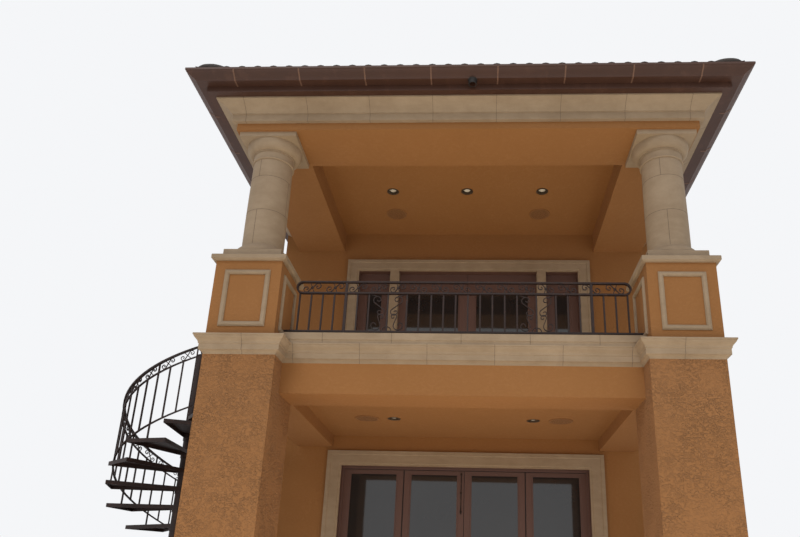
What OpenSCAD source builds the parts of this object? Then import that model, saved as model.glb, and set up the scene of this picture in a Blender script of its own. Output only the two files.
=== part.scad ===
// Two-storey balcony bay: stucco piers below, round stone columns above, iron railings,
// a spiral iron stair at the left, and the slice of house wall that it stands against.
// Millimetres. X is across the front, Y points into the house, Z is up. The origin is on the
// ground at the middle of the lower doorway, in the plane of the wall's outer face.

/* [Plan] */
// Half the width over the outer faces of the two piers
bay_half = 2790; // [2200:10:3400]
// From the fronts of the piers back to the face of the wall
bay_depth = 3200; // [2600:10:4000]
// Thickness of the house wall
wall_t = 300; // [200:10:400]
// How far the front beam and its curb stand back from the pier faces
beam_setback = 290; // [240:10:340]
// How far the side beams and their curbs stand back from the pier faces
side_setback = 310; // [240:10:340]

/* [Levels] */
// Underside of the lower beams
lower_beam_z = 2680; // [2600:10:2900]
// Top of the piers, the lower beams and the balcony slab
deck_z = 3030; // [2900:10:3400]
// Top of the balcony floor
floor_z = 3085; // [2950:5:3460]
// Underside of the upper beams, top of the columns
upper_beam_z = 5930; // [5700:5:6600]
// Top of the upper beams and of the boxed eave
eave_z = 6360; // [6300:10:7000]

/* [Piers and lower beams] */
// Side of a square pier
pier_w = 800; // [640:10:960]
// Width of the lower beams
lower_beam_w = 515; // [350:5:600]
// Rise of the lower ceiling above the underside of the beams
lower_coffer = 165; // [80:5:220]
// Thickness of a plastered ceiling
ceiling_t = 25; // [15:5:40]

/* [Stone cornice of the balcony] */
// Height of the cornice stones
cornice_h = 210; // [170:5:260]
// Projection of the cornice stones
cornice_p = 100; // [60:5:120]
// Thickness of the curb behind the cornice face
curb_t = 200; // [160:10:260]
// Height of the coping stones
coping_h = 125; // [90:5:150]
// Width of the coping stones
coping_w = 280; // [220:10:320]

/* [Pedestals and columns] */
// Side of a square pedestal
pedestal_w = 760; // [700:10:900]
// Height of a pedestal without its cap
pedestal_h = 910; // [780:10:1100]
// Thickness of a pedestal cap
cap_h = 70; // [50:5:100]
// Overhang of a pedestal cap
cap_p = 50; // [20:5:70]
// Width of a pedestal's raised panel frame
panel_w = 520; // [400:10:600]
// Height of a pedestal's raised panel frame
panel_h = 680; // [500:10:720]
// Side of a column's square plinth
plinth_w = 675; // [600:5:720]
// Height of a column's square plinth
plinth_h = 105; // [80:5:140]
// Radius of the shaft at its foot
shaft_r = 245; // [190:1:270]
// Radius of the shaft under its neck ring
shaft_top_r = 238; // [180:1:250]
// Side of the square abacus
abacus_w = 700; // [600:5:720]
// Thickness of the abacus
abacus_h = 60; // [50:5:90]

/* [Upper beams and eaves] */
// Width of the upper beams
upper_beam_w = 766; // [600:2:800]
// Rise of the upper ceiling above the underside of the beams
upper_coffer = 320; // [200:5:340]
// Height of the plain frieze under the stone cornice
frieze_h = 95; // [60:5:140]
// Height of the upper stone cornice
top_cornice_h = 225; // [140:5:250]
// Projection of the upper stone cornice
top_cornice_p = 220; // [160:4:240]
// Projection of the boxed eave and its fascia board
fascia_p = 308; // [250:2:340]
// Projection of the gutter
gutter_p = 516; // [440:2:540]
// Depth of the gutter
gutter_h = 110; // [90:5:140]
// Wall of the gutter
gutter_t = 5; // [4:1:10]
// Projection of the roof tiles
tile_p = 425; // [360:5:450]

/* [Roof] */
// Rise of the roof for one unit of run
roof_slope = 0.35; // [0.25:0.01:0.5]
// Thickness of the roof deck
roof_deck_t = 80; // [60:5:120]
// Thickness of the tile layer
tile_t = 95; // [40:5:120]

/* [Lower doors] */
// Clear width between the stones of the lower surround
door_w = 3620; // [3000:10:3900]
// Height of the lower doorway above the ground
door_h = 2405; // [2200:5:2500]
// Width of the lower surround's stones
surround_w = 215; // [180:5:280]
// How far the surround stones stand out from the wall
surround_p = 45; // [30:5:70]
// Thickness of the door frame
frame_t = 30; // [20:5:60]
// Depth of the door frame along Y
frame_d = 130; // [110:5:160]
// Height of the stone threshold
threshold_h = 40; // [25:5:60]
// Thickness of a door leaf
leaf_t = 45; // [38:1:60]
// Width of a leaf's stiles
stile_w = 104; // [80:2:130]
// Height of a leaf's top rail
top_rail_h = 60; // [50:5:140]
// Height of a leaf's bottom rail
bottom_rail_h = 240; // [150:10:300]
// Gap between a leaf and its neighbours
leaf_gap = 8; // [6:0.5:12]
// Thickness of the glass
glass_t = 12; // [6:1:20]

/* [Upper doors] */
// Clear width between the stones of the upper surround
upper_door_w = 3530; // [3000:10:3700]
// Height of the upper doorway above the balcony floor
upper_door_h = 2490; // [2200:10:2600]
// Width of the upper surround's stones
upper_surround_w = 190; // [140:5:220]
// Clear width of each sidelight
sidelight_w = 510; // [400:10:600]
// Width of the two stone mullions
mullion_w = 145; // [110:5:180]
// Width of an upper leaf's stiles
upper_stile_w = 140; // [90:5:170]
// Height of an upper leaf's top rail
upper_rail_h = 330; // [100:10:360]

/* [Railings] */
// Height of the top of the railing above the coping
railing_h = 687; // [560:1:760]
// Height of the scroll band under the top rail
band_h = 140; // [100:5:160]
// Side of a square picket
picket_w = 18; // [14:1:24]
// Width of a square post
post_w = 30; // [22:1:40]
// Largest distance between picket centres
picket_pitch = 140; // [115:1:160]
// Length of the front railing's middle run between its two scroll panels
middle_run = 1260; // [980:10:1680]
// Width of a scroll panel
scroll_w = 440; // [360:10:520]
// From the last picket of the front railing to the pedestal
end_gap = 150; // [110:5:200]
// Width of the flat rails
rail_w = 38; // [30:1:50]
// Thickness of the flat rails
rail_t = 20; // [10:1:24]
// Space between the coping and the bottom rail
rail_foot = 52; // [10:2:60]

/* [Spiral stair] */
// Distance of the pole's axis from the wall
stair_back = 1000; // [980:10:1400]
// Distance of the pole's axis from the side cornice
stair_offset = 1160; // [1000:10:1400]
// Distance of the treads' outer corners from the pole's axis
stair_r = 930; // [770:10:960]
// Height of the pole above the balcony floor
pole_rise = 660; // [400:10:900]
// Radius of the pole
pole_r = 66; // [50:1:100]
// Number of risers from the ground to the balcony
risers = 13; // [12:1:15]
// Turn from one tread to the next, in degrees
tread_turn = 30; // [20:0.5:32]
// Thickness of a tread
tread_t = 50; // [25:1:60]
// Height of the stair's handrail above the slope of the treads' front edges
handrail_h = 860; // [760:10:960]
// Width of the opening in the left railing
gate_w = 800; // [700:10:900]

/* [Hidden] */
$fn = 64;

// Where the gutter's outlet stands along the front
outlet_x = 96;

// A little extra length for cutting shapes
cut = 1;

// Plan
front_y = -bay_depth;
pier_in = bay_half - pier_w;
beam_front_y = front_y + beam_setback;
beam_back_y = beam_front_y + lower_beam_w;
side_face_x = bay_half - side_setback;
side_in_x = side_face_x - lower_beam_w;
curb_in_x = side_face_x - curb_t;
curb_back_y = beam_front_y + curb_t;
column_x = bay_half - pedestal_w / 2;
column_y = front_y + pedestal_w / 2;
pedestal_back_y = front_y + pedestal_w;
upper_half = column_x + upper_beam_w / 2;
upper_in_x = column_x - upper_beam_w / 2;
upper_front_y = column_y - upper_beam_w / 2;
upper_back_y = column_y + upper_beam_w / 2;
wall_half = upper_half + top_cornice_p;

// Levels
curb_z = deck_z + cornice_h;
coping_z = curb_z + coping_h;
lower_ceiling_z = lower_beam_z + lower_coffer;
pedestal_z = curb_z + pedestal_h;
cap_z = pedestal_z + cap_h;
plinth_z = cap_z + plinth_h;
abacus_z = upper_beam_z - abacus_h;
upper_ceiling_z = upper_beam_z + upper_coffer;
top_cornice_z = upper_beam_z + frieze_h;
eave_box_z = top_cornice_z + top_cornice_h;
upper_head_z = floor_z + upper_door_h;
tile_edge_z = eave_z + roof_deck_t - (tile_p - fascia_p) * roof_slope;

// Railing lines
rail_y = beam_front_y + coping_w / 2 - cornice_p;
rail_x = side_face_x - coping_w / 2 + cornice_p;
rail_half = bay_half - pedestal_w;
run_half = rail_half - end_gap;

// Doors
leaf_y = 110;
leaf_x = door_w / 2 - frame_t;
leaf_w = (2 * leaf_x - 5 * leaf_gap) / 4;
leaf_z = threshold_h + leaf_gap;
leaf_top_z = door_h - frame_t - leaf_gap;
hinge_x = leaf_w + 1.5 * leaf_gap;

// Stair
stair_x = -side_face_x - cornice_p - stair_offset;
stair_y = -stair_back;
gate_low = stair_y - gate_w / 2;
gate_high = stair_y + gate_w / 2;
riser = floor_z / risers;
treads = risers - 1;
tread_plate = 6;
collar_h = 40;
landing_half = asin(gate_w / 2 / stair_r);
tread_half = 0.56 * tread_turn;
stair_rail_r = stair_r * cos(tread_half) - picket_w;

stucco = [0.66, 0.49, 0.36];
stone = [0.80, 0.72, 0.62];
iron = [0.09, 0.07, 0.06];
bronze = [0.20, 0.14, 0.12];
aubergine = [0.24, 0.16, 0.17];
glass_tint = [0.35, 0.42, 0.45, 0.6];

// A box between two corners
module block(low, high) translate(low) cube(high - low);

// The children and their mirror image on the left side
module both_sides() {
    children();
    mirror([1, 0, 0]) children();
}

// Points of an S-curve from one [projection, height] to another
function ogee(from, to, steps) = [
    for (i = [0:steps])
        let (t = i / steps)
            [from[0] + (to[0] - from[0]) * (1 - cos(180 * t)) / 2,
             from[1] + (to[1] - from[1]) * t]
];

// Points of a quarter hollow from one [projection, height] to another
function cove(from, to, steps) = [
    for (i = [0:steps])
        let (a = 90 * i / steps)
            [from[0] + (to[0] - from[0]) * (1 - cos(a)),
             from[1] + (to[1] - from[1]) * sin(a)]
];

// Points of a shallow hollow, sag being its depth as a part of its projection
function hollow(from, to, sag, steps) = [
    for (i = [0:steps])
        let (t = i / steps)
            [from[0] + (to[0] - from[0]) * (t - sag * sin(180 * t)),
             from[1] + (to[1] - from[1]) * t]
];

// Balcony cornice from its foot: hollow, band, slanted ogee and thin top fillet, as
// [projection, height]
function cornice_profile() = concat(
    cove([0, 0], [0.42 * cornice_p, 0.2 * cornice_h], 5),
    [[0.42 * cornice_p, 0.5 * cornice_h], [0.5 * cornice_p, 0.53 * cornice_h]],
    ogee([0.5 * cornice_p, 0.56 * cornice_h], [0.92 * cornice_p, 0.9 * cornice_h], 8),
    [[cornice_p, 0.92 * cornice_h], [cornice_p, cornice_h]]
);

// Upper cornice: flat low band, step and one long hollow up to the top band
function top_cornice_profile() = concat(
    [[0, 0], [0.24 * top_cornice_p, 0], [0.24 * top_cornice_p, 0.42 * top_cornice_h],
     [0.29 * top_cornice_p, 0.42 * top_cornice_h]],
    hollow([0.29 * top_cornice_p, 0.45 * top_cornice_h],
           [0.95 * top_cornice_p, 0.9 * top_cornice_h], 0.12, 8),
    [[top_cornice_p, 0.92 * top_cornice_h], [top_cornice_p, top_cornice_h], [0, top_cornice_h]]
);

// Pedestal cap: bevelled underside, square face and eased top edge
function cap_profile() = [
    [0, 0], [0.6 * cap_p, 0], [cap_p, 0.25 * cap_h], [cap_p, 0.9 * cap_h], [0.86 * cap_p, cap_h]
];

// A block with a moulding round all four sides, mitred at its corners
module moulded_cap(low, high, profile) {
    top = profile[len(profile) - 1][1];
    intersection() {
        translate([0, high[1] + top, low[2]])
            rotate([90, 0, 0])
                linear_extrude(height = high[1] - low[1] + 2 * top)
                    polygon(concat([for (p = profile) [high[0] + p[0], p[1]]],
                                   [for (i = [len(profile) - 1:-1:0])
                                       [low[0] - profile[i][0], profile[i][1]]]));
        translate([low[0] - top, 0, low[2]])
            rotate([90, 0, 90])
                linear_extrude(height = high[0] - low[0] + 2 * top)
                    polygon(concat([for (p = profile) [high[1] + p[0], p[1]]],
                                   [for (i = [len(profile) - 1:-1:0])
                                       [low[1] - profile[i][0], profile[i][1]]]));
    }
}

// A profile of [projection, height] points run along the two sides and the front of the bay,
// mitred at the front corners. reach is the largest projection, and the run ends at back_y.
module round_bay(half, face_y, back_y, z, reach, profile) {
    both_sides() intersection() {
        translate([half, back_y, z])
            rotate([90, 0, 0])
                linear_extrude(height = back_y - face_y + reach) polygon(profile);
        translate([0, 0, z - cut])
            linear_extrude(height = 1000)
                polygon([[half, face_y], [half + reach, face_y - reach],
                         [half + reach, back_y], [half, back_y]]);
    }
    intersection() {
        translate([-half - reach, face_y, z])
            rotate([90, 0, 90])
                linear_extrude(height = 2 * (half + reach))
                    mirror([1, 0]) polygon(profile);
        translate([0, 0, z - cut])
            linear_extrude(height = 1000)
                polygon([[-half, face_y], [half, face_y],
                         [half + reach, face_y - reach], [-half - reach, face_y - reach]]);
    }
}

// Square stucco piers from the ground
module pier() block([pier_in, front_y, 0], [bay_half, front_y + pier_w, deck_z]);

module pier_left() color(stucco) mirror([1, 0, 0]) pier();

module pier_right() color(stucco) pier();

// Beam between the piers
module lower_front_beam() color(stucco)
    block([-pier_in, beam_front_y, lower_beam_z], [pier_in, beam_back_y, deck_z]);

// Beams from the piers back to the wall
module lower_side_beams() color(stucco) difference() {
    both_sides() block([side_in_x, front_y + pier_w, lower_beam_z], [side_face_x, 0, deck_z]);
    lower_front_beam();
}

// Places of the lamps and the loudspeakers in the two ceilings
lower_lamps = [[-926, -1135], [926, -1135]];
upper_lamps = [[-1100, -1310], [0, -1310], [1100, -1310]];
lower_speakers = [[-1290, -1140], [1290, -1140]];
upper_speakers = [[-1115, -665], [1115, -665]];
lamp_r = 76;
lamp_rim = 12;
lamp_pocket = 90;
speaker_r = 150;
speaker_t = 8;

// A plaster ceiling between the beams with round holes for its lamps
module ceiling(half, from_y, z, lamps) difference() {
    block([-half, from_y, z], [half, 0, z + ceiling_t]);
    for (p = lamps) translate([p[0], p[1], z - cut]) cylinder(r = lamp_r, h = ceiling_t + 2 * cut);
}

// The room that the two piers take
module piers_room() both_sides() pier();

module lower_ceiling() color(stucco) difference() {
    ceiling(side_in_x, beam_back_y, lower_ceiling_z, lower_lamps);
    piers_room();
}

module upper_ceiling() color(stucco)
    ceiling(upper_in_x, upper_back_y, upper_ceiling_z, upper_lamps);

// Slab between the lower beams, with a pocket above each lamp
module balcony_slab() color("gray") difference() {
    block([-side_in_x, beam_back_y, lower_ceiling_z + ceiling_t], [side_in_x, 0, deck_z]);
    for (p = lower_lamps)
        translate([p[0], p[1], lower_ceiling_z]) cylinder(r = lamp_r, h = ceiling_t + lamp_pocket);
    piers_room();
}

// Bedded floor from curb to curb, fitted round the pier cornices
module balcony_floor() color([0.6, 0.53, 0.45]) difference() {
    block([-curb_in_x, curb_back_y, deck_z], [curb_in_x, 0, floor_z]);
    pier_cornices();
}

// Moulded stone cap on each pier
module pier_cornices() color(stone) both_sides()
    moulded_cap([pier_in, front_y, deck_z], [bay_half, front_y + pier_w], cornice_profile());

// A length of cornice: the profile stands out from its face and the curb is behind it
module cornice_run(length) rotate([90, 0, 90]) linear_extrude(height = length)
    mirror([1, 0])
        polygon(concat([[-curb_t, 0]], cornice_profile(), [[-curb_t, cornice_h]]));

module front_cornice() color(stone) difference() {
    translate([-pier_in, beam_front_y, deck_z]) cornice_run(2 * pier_in);
    pier_cornices();
}

// The side cornices, with a notch down to the floor where the stair arrives on the left
module side_cornices() color(stone) difference() {
    both_sides() translate([side_face_x, front_y + pier_w, deck_z])
        rotate(90) cornice_run(bay_depth - pier_w);
    pier_cornices();
    block([-side_face_x - cornice_p - cut, gate_low, floor_z],
          [-curb_in_x + cut, gate_high, curb_z + cut]);
}

// Section of a coping stone: a square upper part over a drawn-in foot with a small hollow
coping_foot = 14;
module coping_run(length) rotate([90, 0, 90]) linear_extrude(height = length)
    polygon(concat(
        [[coping_foot, 0], [coping_w - coping_foot, 0]],
        cove([coping_w - coping_foot, 0.18 * coping_h], [coping_w, 0.34 * coping_h], 4),
        [[coping_w, 0.95 * coping_h], [coping_w - 6, coping_h], [6, coping_h],
         [0, 0.95 * coping_h]],
        [for (p = [4:-1:0]) let (q = cove([coping_foot, 0.18 * coping_h],
                                          [0, 0.34 * coping_h], 4)[p]) q]
    ));

// Coping stones on the curbs, between the pedestals and back to the wall
module coping_side(from_y, to_y)
    translate([side_face_x + cornice_p, from_y, curb_z]) rotate(90) coping_run(to_y - from_y);

module copings() color(stone) {
    translate([-rail_half, beam_front_y - cornice_p, curb_z]) coping_run(2 * rail_half);
    coping_side(pedestal_back_y, 0);
    mirror([1, 0, 0]) coping_side(pedestal_back_y, gate_low);
    mirror([1, 0, 0]) coping_side(gate_high, 0);
}

// Width and height of the rounded moulding of a pedestal's raised frame
panel_band = 55;
panel_raise = 26;

// One side of a rectangular raised frame, mitred at both ends
module frame_side(length) intersection() {
    rotate([90, 0, 90]) linear_extrude(height = length)
        polygon(concat([[0, 0], [0, panel_raise / 2]],
                       [for (i = [0:6]) let (a = 180 * i / 6)
                           [panel_band * (0.5 - 0.4 * cos(a)), panel_raise * (0.5 + sin(a) / 2)]],
                       [[panel_band, panel_raise / 2], [panel_band, 0]]));
    linear_extrude(height = panel_raise)
        polygon([[0, 0], [length, 0], [length - panel_band, panel_band],
                 [panel_band, panel_band]]);
}

// A raised frame lying in the XY plane about its centre
module raised_frame(w, h) {
    for (turn = [0, 180]) {
        rotate(turn) translate([-w / 2, -h / 2, 0]) frame_side(w);
        rotate(turn + 90) translate([-h / 2, -w / 2, 0]) frame_side(h);
    }
}

// Square stucco pedestals on the curbs' corners
module pedestals() color(stucco) both_sides()
    block([rail_half, front_y, curb_z], [bay_half, pedestal_back_y, pedestal_z]);

// A mitred frame of stone moulding on each face, cut away over the copings and side rails
module pedestal_frames() color(stone) difference() {
    both_sides() translate([column_x, column_y, curb_z + pedestal_h / 2])
        for (turn = [0:90:270])
            rotate(turn) translate([0, -pedestal_w / 2, 0])
                rotate([90, 0, 0]) raised_frame(panel_w, panel_h);
    copings();
    right_railing();
    left_railings();
}

// Stone slab with eased edges on each pedestal
module pedestal_caps() color(stone) both_sides()
    moulded_cap([rail_half, front_y, pedestal_z], [bay_half, pedestal_back_y], cap_profile());

// Points of a half-round bulge of a turned profile, from one height to another
function torus_points(r, from_z, to_z, bulge, steps) = [
    for (i = [0:steps])
        let (a = 180 * i / steps)
            [r + bulge * sin(a), from_z + (to_z - from_z) * (1 - cos(a)) / 2]
];

// Turned outline of a column from plinth to abacus: fillet, quarter round, fillet, shaft with
// entasis, collar and wide echinus
function column_outline() = let (
    foot = plinth_z,
    top = abacus_z,
    base_r = 0.48 * plinth_w,
    head_r = 0.48 * abacus_w,
    shaft_low = foot + 130,
    collar = top - 250,
    entasis = 3
) concat(
    [[0, foot], [base_r, foot]],
    [for (i = [0:8]) let (a = 90 * i / 8)
        [shaft_r + 22 + (base_r - shaft_r - 22) * cos(a), foot + 14 + 80 * sin(a)]],
    [[shaft_r + 18, foot + 94], [shaft_r + 18, foot + 108]],
    [for (i = [0:10]) let (t = i / 10)
        [shaft_r + (shaft_top_r - shaft_r) * t + entasis * sin(180 * t),
         shaft_low + (collar - shaft_low) * t]],
    torus_points(shaft_top_r + 6, collar, collar + 26, 14, 6),
    [[shaft_top_r + 8, collar + 26], [shaft_top_r + 8, top - 142], [shaft_top_r + 20, top - 142],
     [shaft_top_r + 20, top - 126]],
    [for (i = [0:7]) let (a = 90 * i / 7)
        [shaft_top_r + 26 + (head_r - shaft_top_r - 26) * sin(a),
         top - 126 + 118 * (1 - cos(a))]],
    [[head_r, top - 8], [head_r, top], [0, top]]
);

module column() translate([column_x, column_y, 0]) {
    block([-plinth_w / 2, -plinth_w / 2, cap_z], [plinth_w / 2, plinth_w / 2, plinth_z]);
    rotate_extrude() polygon(column_outline());
    block([-abacus_w / 2, -abacus_w / 2, abacus_z], [abacus_w / 2, abacus_w / 2, upper_beam_z]);
}

module column_left() color(stone) mirror([1, 0, 0]) column();

module column_right() color(stone) column();

module upper_front_beam() color(stucco)
    block([-upper_half, upper_front_y, upper_beam_z], [upper_half, upper_back_y, eave_z]);

module upper_side_beams() color(stucco) both_sides()
    block([upper_in_x, upper_back_y, upper_beam_z], [upper_half, 0, eave_z]);

module upper_cornice() color(stone)
    round_bay(upper_half, upper_front_y, 0, top_cornice_z, top_cornice_p,
              top_cornice_profile());

// Boxed eave on top of the stone cornice, its outer board the fascia
module eave_box() color(bronze) difference() {
    round_bay(upper_half, upper_front_y, wall_t, eave_box_z, fascia_p,
              [[0, 0], [fascia_p, 0], [fascia_p, eave_z - eave_box_z],
               [0, eave_z - eave_box_z]]);
    block([-wall_half, 0, eave_box_z - cut], [wall_half, wall_t + cut, eave_z + cut]);
}

// Moulded gutter along the front and both sides, open at the top, and its outlet
gutter_low = eave_z - 33;
module gutter() color(bronze) {
    w = gutter_p - fascia_p;
    t = gutter_t;
    lip = 3 * gutter_t;
    mouth = ogee([0.5 * w, 0], [0.94 * w, 0.7 * gutter_h], 8);
    round_bay(upper_half + fascia_p, upper_front_y - fascia_p, wall_t, gutter_low, w,
              concat([[0, 0]], mouth,
                     [[w, 0.76 * gutter_h], [w, gutter_h], [w - lip, gutter_h],
                      [w - lip, gutter_h - t], [w - t, gutter_h - t],
                      [w - t, 0.76 * gutter_h + t / 2]],
                     [for (i = [8:-1:1]) [mouth[i][0] - t, mouth[i][1] + t / 2]],
                     [[0.5 * w - t, t], [t, t], [t, gutter_h], [0, gutter_h]]));
    translate([outlet_x, upper_front_y - fascia_p - 0.35 * w, gutter_low - 60])
        difference() {
            cylinder(r = 42, h = 60);
            translate([0, 0, -cut]) cylinder(r = 38, h = 60);
        }
}

// The hip roof's volume between a flat foot and the surface that is lift above the fascia's
// top edge, out to the given projection and back to back_y
module hip(projection, lift, back_y, foot) {
    half = upper_half + projection;
    front = upper_front_y - projection;
    edge = eave_z + lift - (projection - fascia_p) * roof_slope;
    run = back_y - front;
    intersection() {
        translate([0, back_y, 0]) rotate([90, 0, 0]) linear_extrude(height = run)
            polygon([[-half, foot], [half, foot], [half, edge], [0, edge + half * roof_slope],
                     [-half, edge]]);
        translate([-half, 0, 0]) rotate([90, 0, 90]) linear_extrude(height = 2 * half)
            polygon([[front, foot], [back_y, foot], [back_y, edge + run * roof_slope],
                     [front, edge]]);
    }
}

// Sloping deck with a flat seat of this width on the boxed eave
deck_seat = 60;
module roof_deck() color("tan") difference() {
    hip(fascia_p, roof_deck_t, wall_t, eave_z);
    hip(fascia_p - deck_seat, 0, wall_t + 100, eave_z - 100);
}

// Round roll of capping tiles along the ridge, from just in front of the peak
roll_r = 95;
module ridge_roll() {
    half = upper_half + tile_p;
    peak_y = upper_front_y - tile_p + half;
    translate([0, peak_y - roll_r / 2, tile_edge_z + tile_t + half * roof_slope])
        rotate([-90, 0, 0]) cylinder(r = roll_r, h = wall_t - peak_y + roll_r / 2);
}

// Tile layer with a flat drip edge of this width over the gutter
drip_w = 40;
module roof_tiles() color([0.26, 0.22, 0.20]) difference() {
    union() {
        hip(tile_p, roof_deck_t + tile_t, wall_t, tile_edge_z);
        ridge_roll();
    }
    hip(tile_p - drip_w, roof_deck_t, wall_t + 100, tile_edge_z - 100);
}

// The house wall, in pieces beside and over its two doorways
module lower_walls() color(stucco) both_sides()
    block([door_w / 2, 0, 0], [wall_half, wall_t, floor_z]);

module lower_wall_head() color(stucco)
    block([-door_w / 2, 0, door_h], [door_w / 2, wall_t, floor_z]);

module upper_walls() color(stucco) both_sides()
    block([upper_door_w / 2, 0, floor_z], [wall_half, wall_t, upper_head_z]);

module upper_wall_head() color(stucco) intersection() {
    block([-wall_half, 0, upper_head_z], [wall_half, wall_t, eave_z + 2 * bay_half]);
    union() {
        block([-wall_half, 0, upper_head_z], [wall_half, wall_t, eave_z]);
        hip(fascia_p + 100, 0, wall_t + 100, eave_z - 100);
    }
}

// Outline of a surround stone: [distance out from the doorway, height off the wall]
function surround_profile(w) = [
    [0, 0], [0, 0.62 * surround_p], [0.12 * w, 0.62 * surround_p], [0.16 * w, 0.78 * surround_p],
    [0.72 * w, 0.78 * surround_p], [0.76 * w, surround_p], [w, surround_p], [w, 0]
];

// Stones round a doorway from z to head_z, mitred at the top corners
module surround(half, z, head_z, w) {
    tall = head_z + w;
    both_sides() intersection() {
        translate([half, 0, z]) linear_extrude(height = tall - z)
            mirror([0, 1]) polygon(surround_profile(w));
        rotate([90, 0, 0]) linear_extrude(height = surround_p)
            polygon([[half, z], [half + w, z], [half + w, tall], [half, head_z]]);
    }
    intersection() {
        translate([-half - w, 0, head_z]) rotate([90, 0, 90]) rotate(90)
            linear_extrude(height = 2 * (half + w)) polygon(surround_profile(w));
        rotate([90, 0, 0]) linear_extrude(height = surround_p)
            polygon([[-half, head_z], [half, head_z], [half + w, tall], [-half - w, tall]]);
    }
}

module lower_surround() color(stone) surround(door_w / 2, 0, door_h, surround_w);

module threshold() color(stone)
    block([-door_w / 2, -surround_p, 0], [door_w / 2, wall_t, threshold_h]);

// Jambs and head of the door frame
module door_frame() color(aubergine) difference() {
    block([-door_w / 2, leaf_y - 20, threshold_h],
          [door_w / 2, leaf_y - 20 + frame_d, door_h]);
    block([-leaf_x, leaf_y - 20 - cut, threshold_h - cut],
          [leaf_x, leaf_y - 20 + frame_d + cut, door_h - frame_t]);
}

// Stiles and rails of one leaf whose lower left corner is at x, with a stepped bead round its
// glass on both faces. sight is [width of the stiles, height of the top rail].
bead_w = 22;
bead_d = 8;
module leaf(x, w, z0, z1, sight) difference() {
    block([x, leaf_y, z0], [x + w, leaf_y + leaf_t, z1]);
    block([x + sight[0], leaf_y - cut, z0 + bottom_rail_h],
          [x + w - sight[0], leaf_y + leaf_t + cut, z1 - sight[1]]);
    for (y = [leaf_y - cut, leaf_y + leaf_t - bead_d])
        block([x + sight[0] - bead_w, y, z0 + bottom_rail_h - bead_w],
              [x + w - sight[0] + bead_w, y + bead_d + cut, z1 - sight[1] + bead_w]);
}

// The pane of one leaf
module pane(x, w, z0, z1, sight) {
    y = leaf_y + (leaf_t - glass_t) / 2;
    block([x + sight[0], y, z0 + bottom_rail_h],
          [x + w - sight[0], y + glass_t, z1 - sight[1]]);
}

// The outer leaves are fixed and the middle two open
fixed_x = hinge_x + leaf_gap;
lower_sight = [stile_w, top_rail_h];

module fixed_leaves() color(aubergine) both_sides()
    leaf(fixed_x, leaf_w, leaf_z, leaf_top_z, lower_sight);

module fixed_glass() color(glass_tint) both_sides()
    pane(fixed_x, leaf_w, leaf_z, leaf_top_z, lower_sight);

// Hinges stand on the inner face at the stiles. The lower and upper knuckle of each belong to
// the fixed leaf, and the one between them to the leaf that turns.
hinge_y = leaf_y + leaf_t + 5;
knuckle_r = 7;
knuckle_h = 34;
knuckle_gap = 1;
hinge_plate_w = 42;
hinge_levels = [leaf_z + 180, leaf_z + 1080, leaf_top_z - 290];

// One knuckle on the axis with its plate on the stile, towards +X when side is 1
module knuckle(x, side, z) translate([x, hinge_y, z]) {
    cylinder(r = knuckle_r, h = knuckle_h);
    block([side == 1 ? 0 : -hinge_plate_w, -5, 0], [side == 1 ? hinge_plate_w : 0, -2, knuckle_h]);
}

module door_hinges() color(bronze) both_sides() for (z = hinge_levels) {
    knuckle(hinge_x, 1, z);
    knuckle(hinge_x, 1, z + 2 * (knuckle_h + knuckle_gap));
    for (end = [z - 6, z + 3 * knuckle_h + 2 * knuckle_gap + 6])
        translate([hinge_x, hinge_y, end]) sphere(r = 6);
}

module moving_knuckles(x, side)
    for (z = hinge_levels) knuckle(x, side, z + knuckle_h + knuckle_gap);

module left_leaf() color(aubergine) {
    leaf(leaf_gap - hinge_x, leaf_w, leaf_z, leaf_top_z, lower_sight);
    moving_knuckles(-hinge_x, 1);
}

module left_glass() color(glass_tint)
    pane(leaf_gap - hinge_x, leaf_w, leaf_z, leaf_top_z, lower_sight);

module right_leaf() color(aubergine) {
    leaf(leaf_gap / 2, leaf_w, leaf_z, leaf_top_z, lower_sight);
    moving_knuckles(hinge_x, -1);
}

module right_glass() color(glass_tint)
    pane(leaf_gap / 2, leaf_w, leaf_z, leaf_top_z, lower_sight);

// Lever handles with long plates on both faces of the left leaf's meeting stile
handle_z = leaf_z + 1000;
module lever(reach) {
    block([-22, 0, -110], [22, 8, 110]);
    translate([0, 8, 0]) rotate([-90, 0, 0]) cylinder(r = 11, h = 34);
    translate([8, 44, 0]) rotate([0, -90, 0]) cylinder(r = 9, h = reach);
    translate([8 - reach, 44, 0]) sphere(r = 9);
}

module door_handle() color(bronze) {
    x = -leaf_gap / 2 - 44;
    translate([x, leaf_y, handle_z]) mirror([0, 1, 0]) lever(120);
    translate([x, leaf_y + leaf_t, handle_z]) lever(120);
}

// Long surface bolt at the head of the left leaf: rod, three guides and a knob
module top_bolt() color(bronze) translate([-leaf_gap / 2 - 40, leaf_y, leaf_top_z - 620]) {
    translate([0, -11, 0]) cylinder(r = 6, h = 595);
    for (z = [20, 290, 560]) block([-14, -19, z], [14, 0, z + 26]);
    translate([0, -11, 110]) rotate([90, 0, 0]) cylinder(r = 7, h = 22);
}

// The upper doorway: surround and two mullions
module upper_surround() color(stone) {
    half = upper_door_w / 2;
    surround(half, floor_z, upper_head_z, upper_surround_w);
    both_sides()
        block([half - sidelight_w - mullion_w, -surround_p / 2, floor_z],
              [half - sidelight_w, leaf_y, upper_head_z]);
}

// Upper leaves: a closed pair in the middle and a fixed sidelight at each side
module upper_openings() {
    half = upper_door_w / 2;
    both_sides() {
        translate([leaf_gap / 2, 0, 0]) children(0);
        translate([half - sidelight_w, 0, 0]) children(1);
    }
}

upper_leaf_w = upper_door_w / 2 - sidelight_w - mullion_w - leaf_gap / 2;
upper_sight = [upper_stile_w, upper_rail_h];

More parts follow.
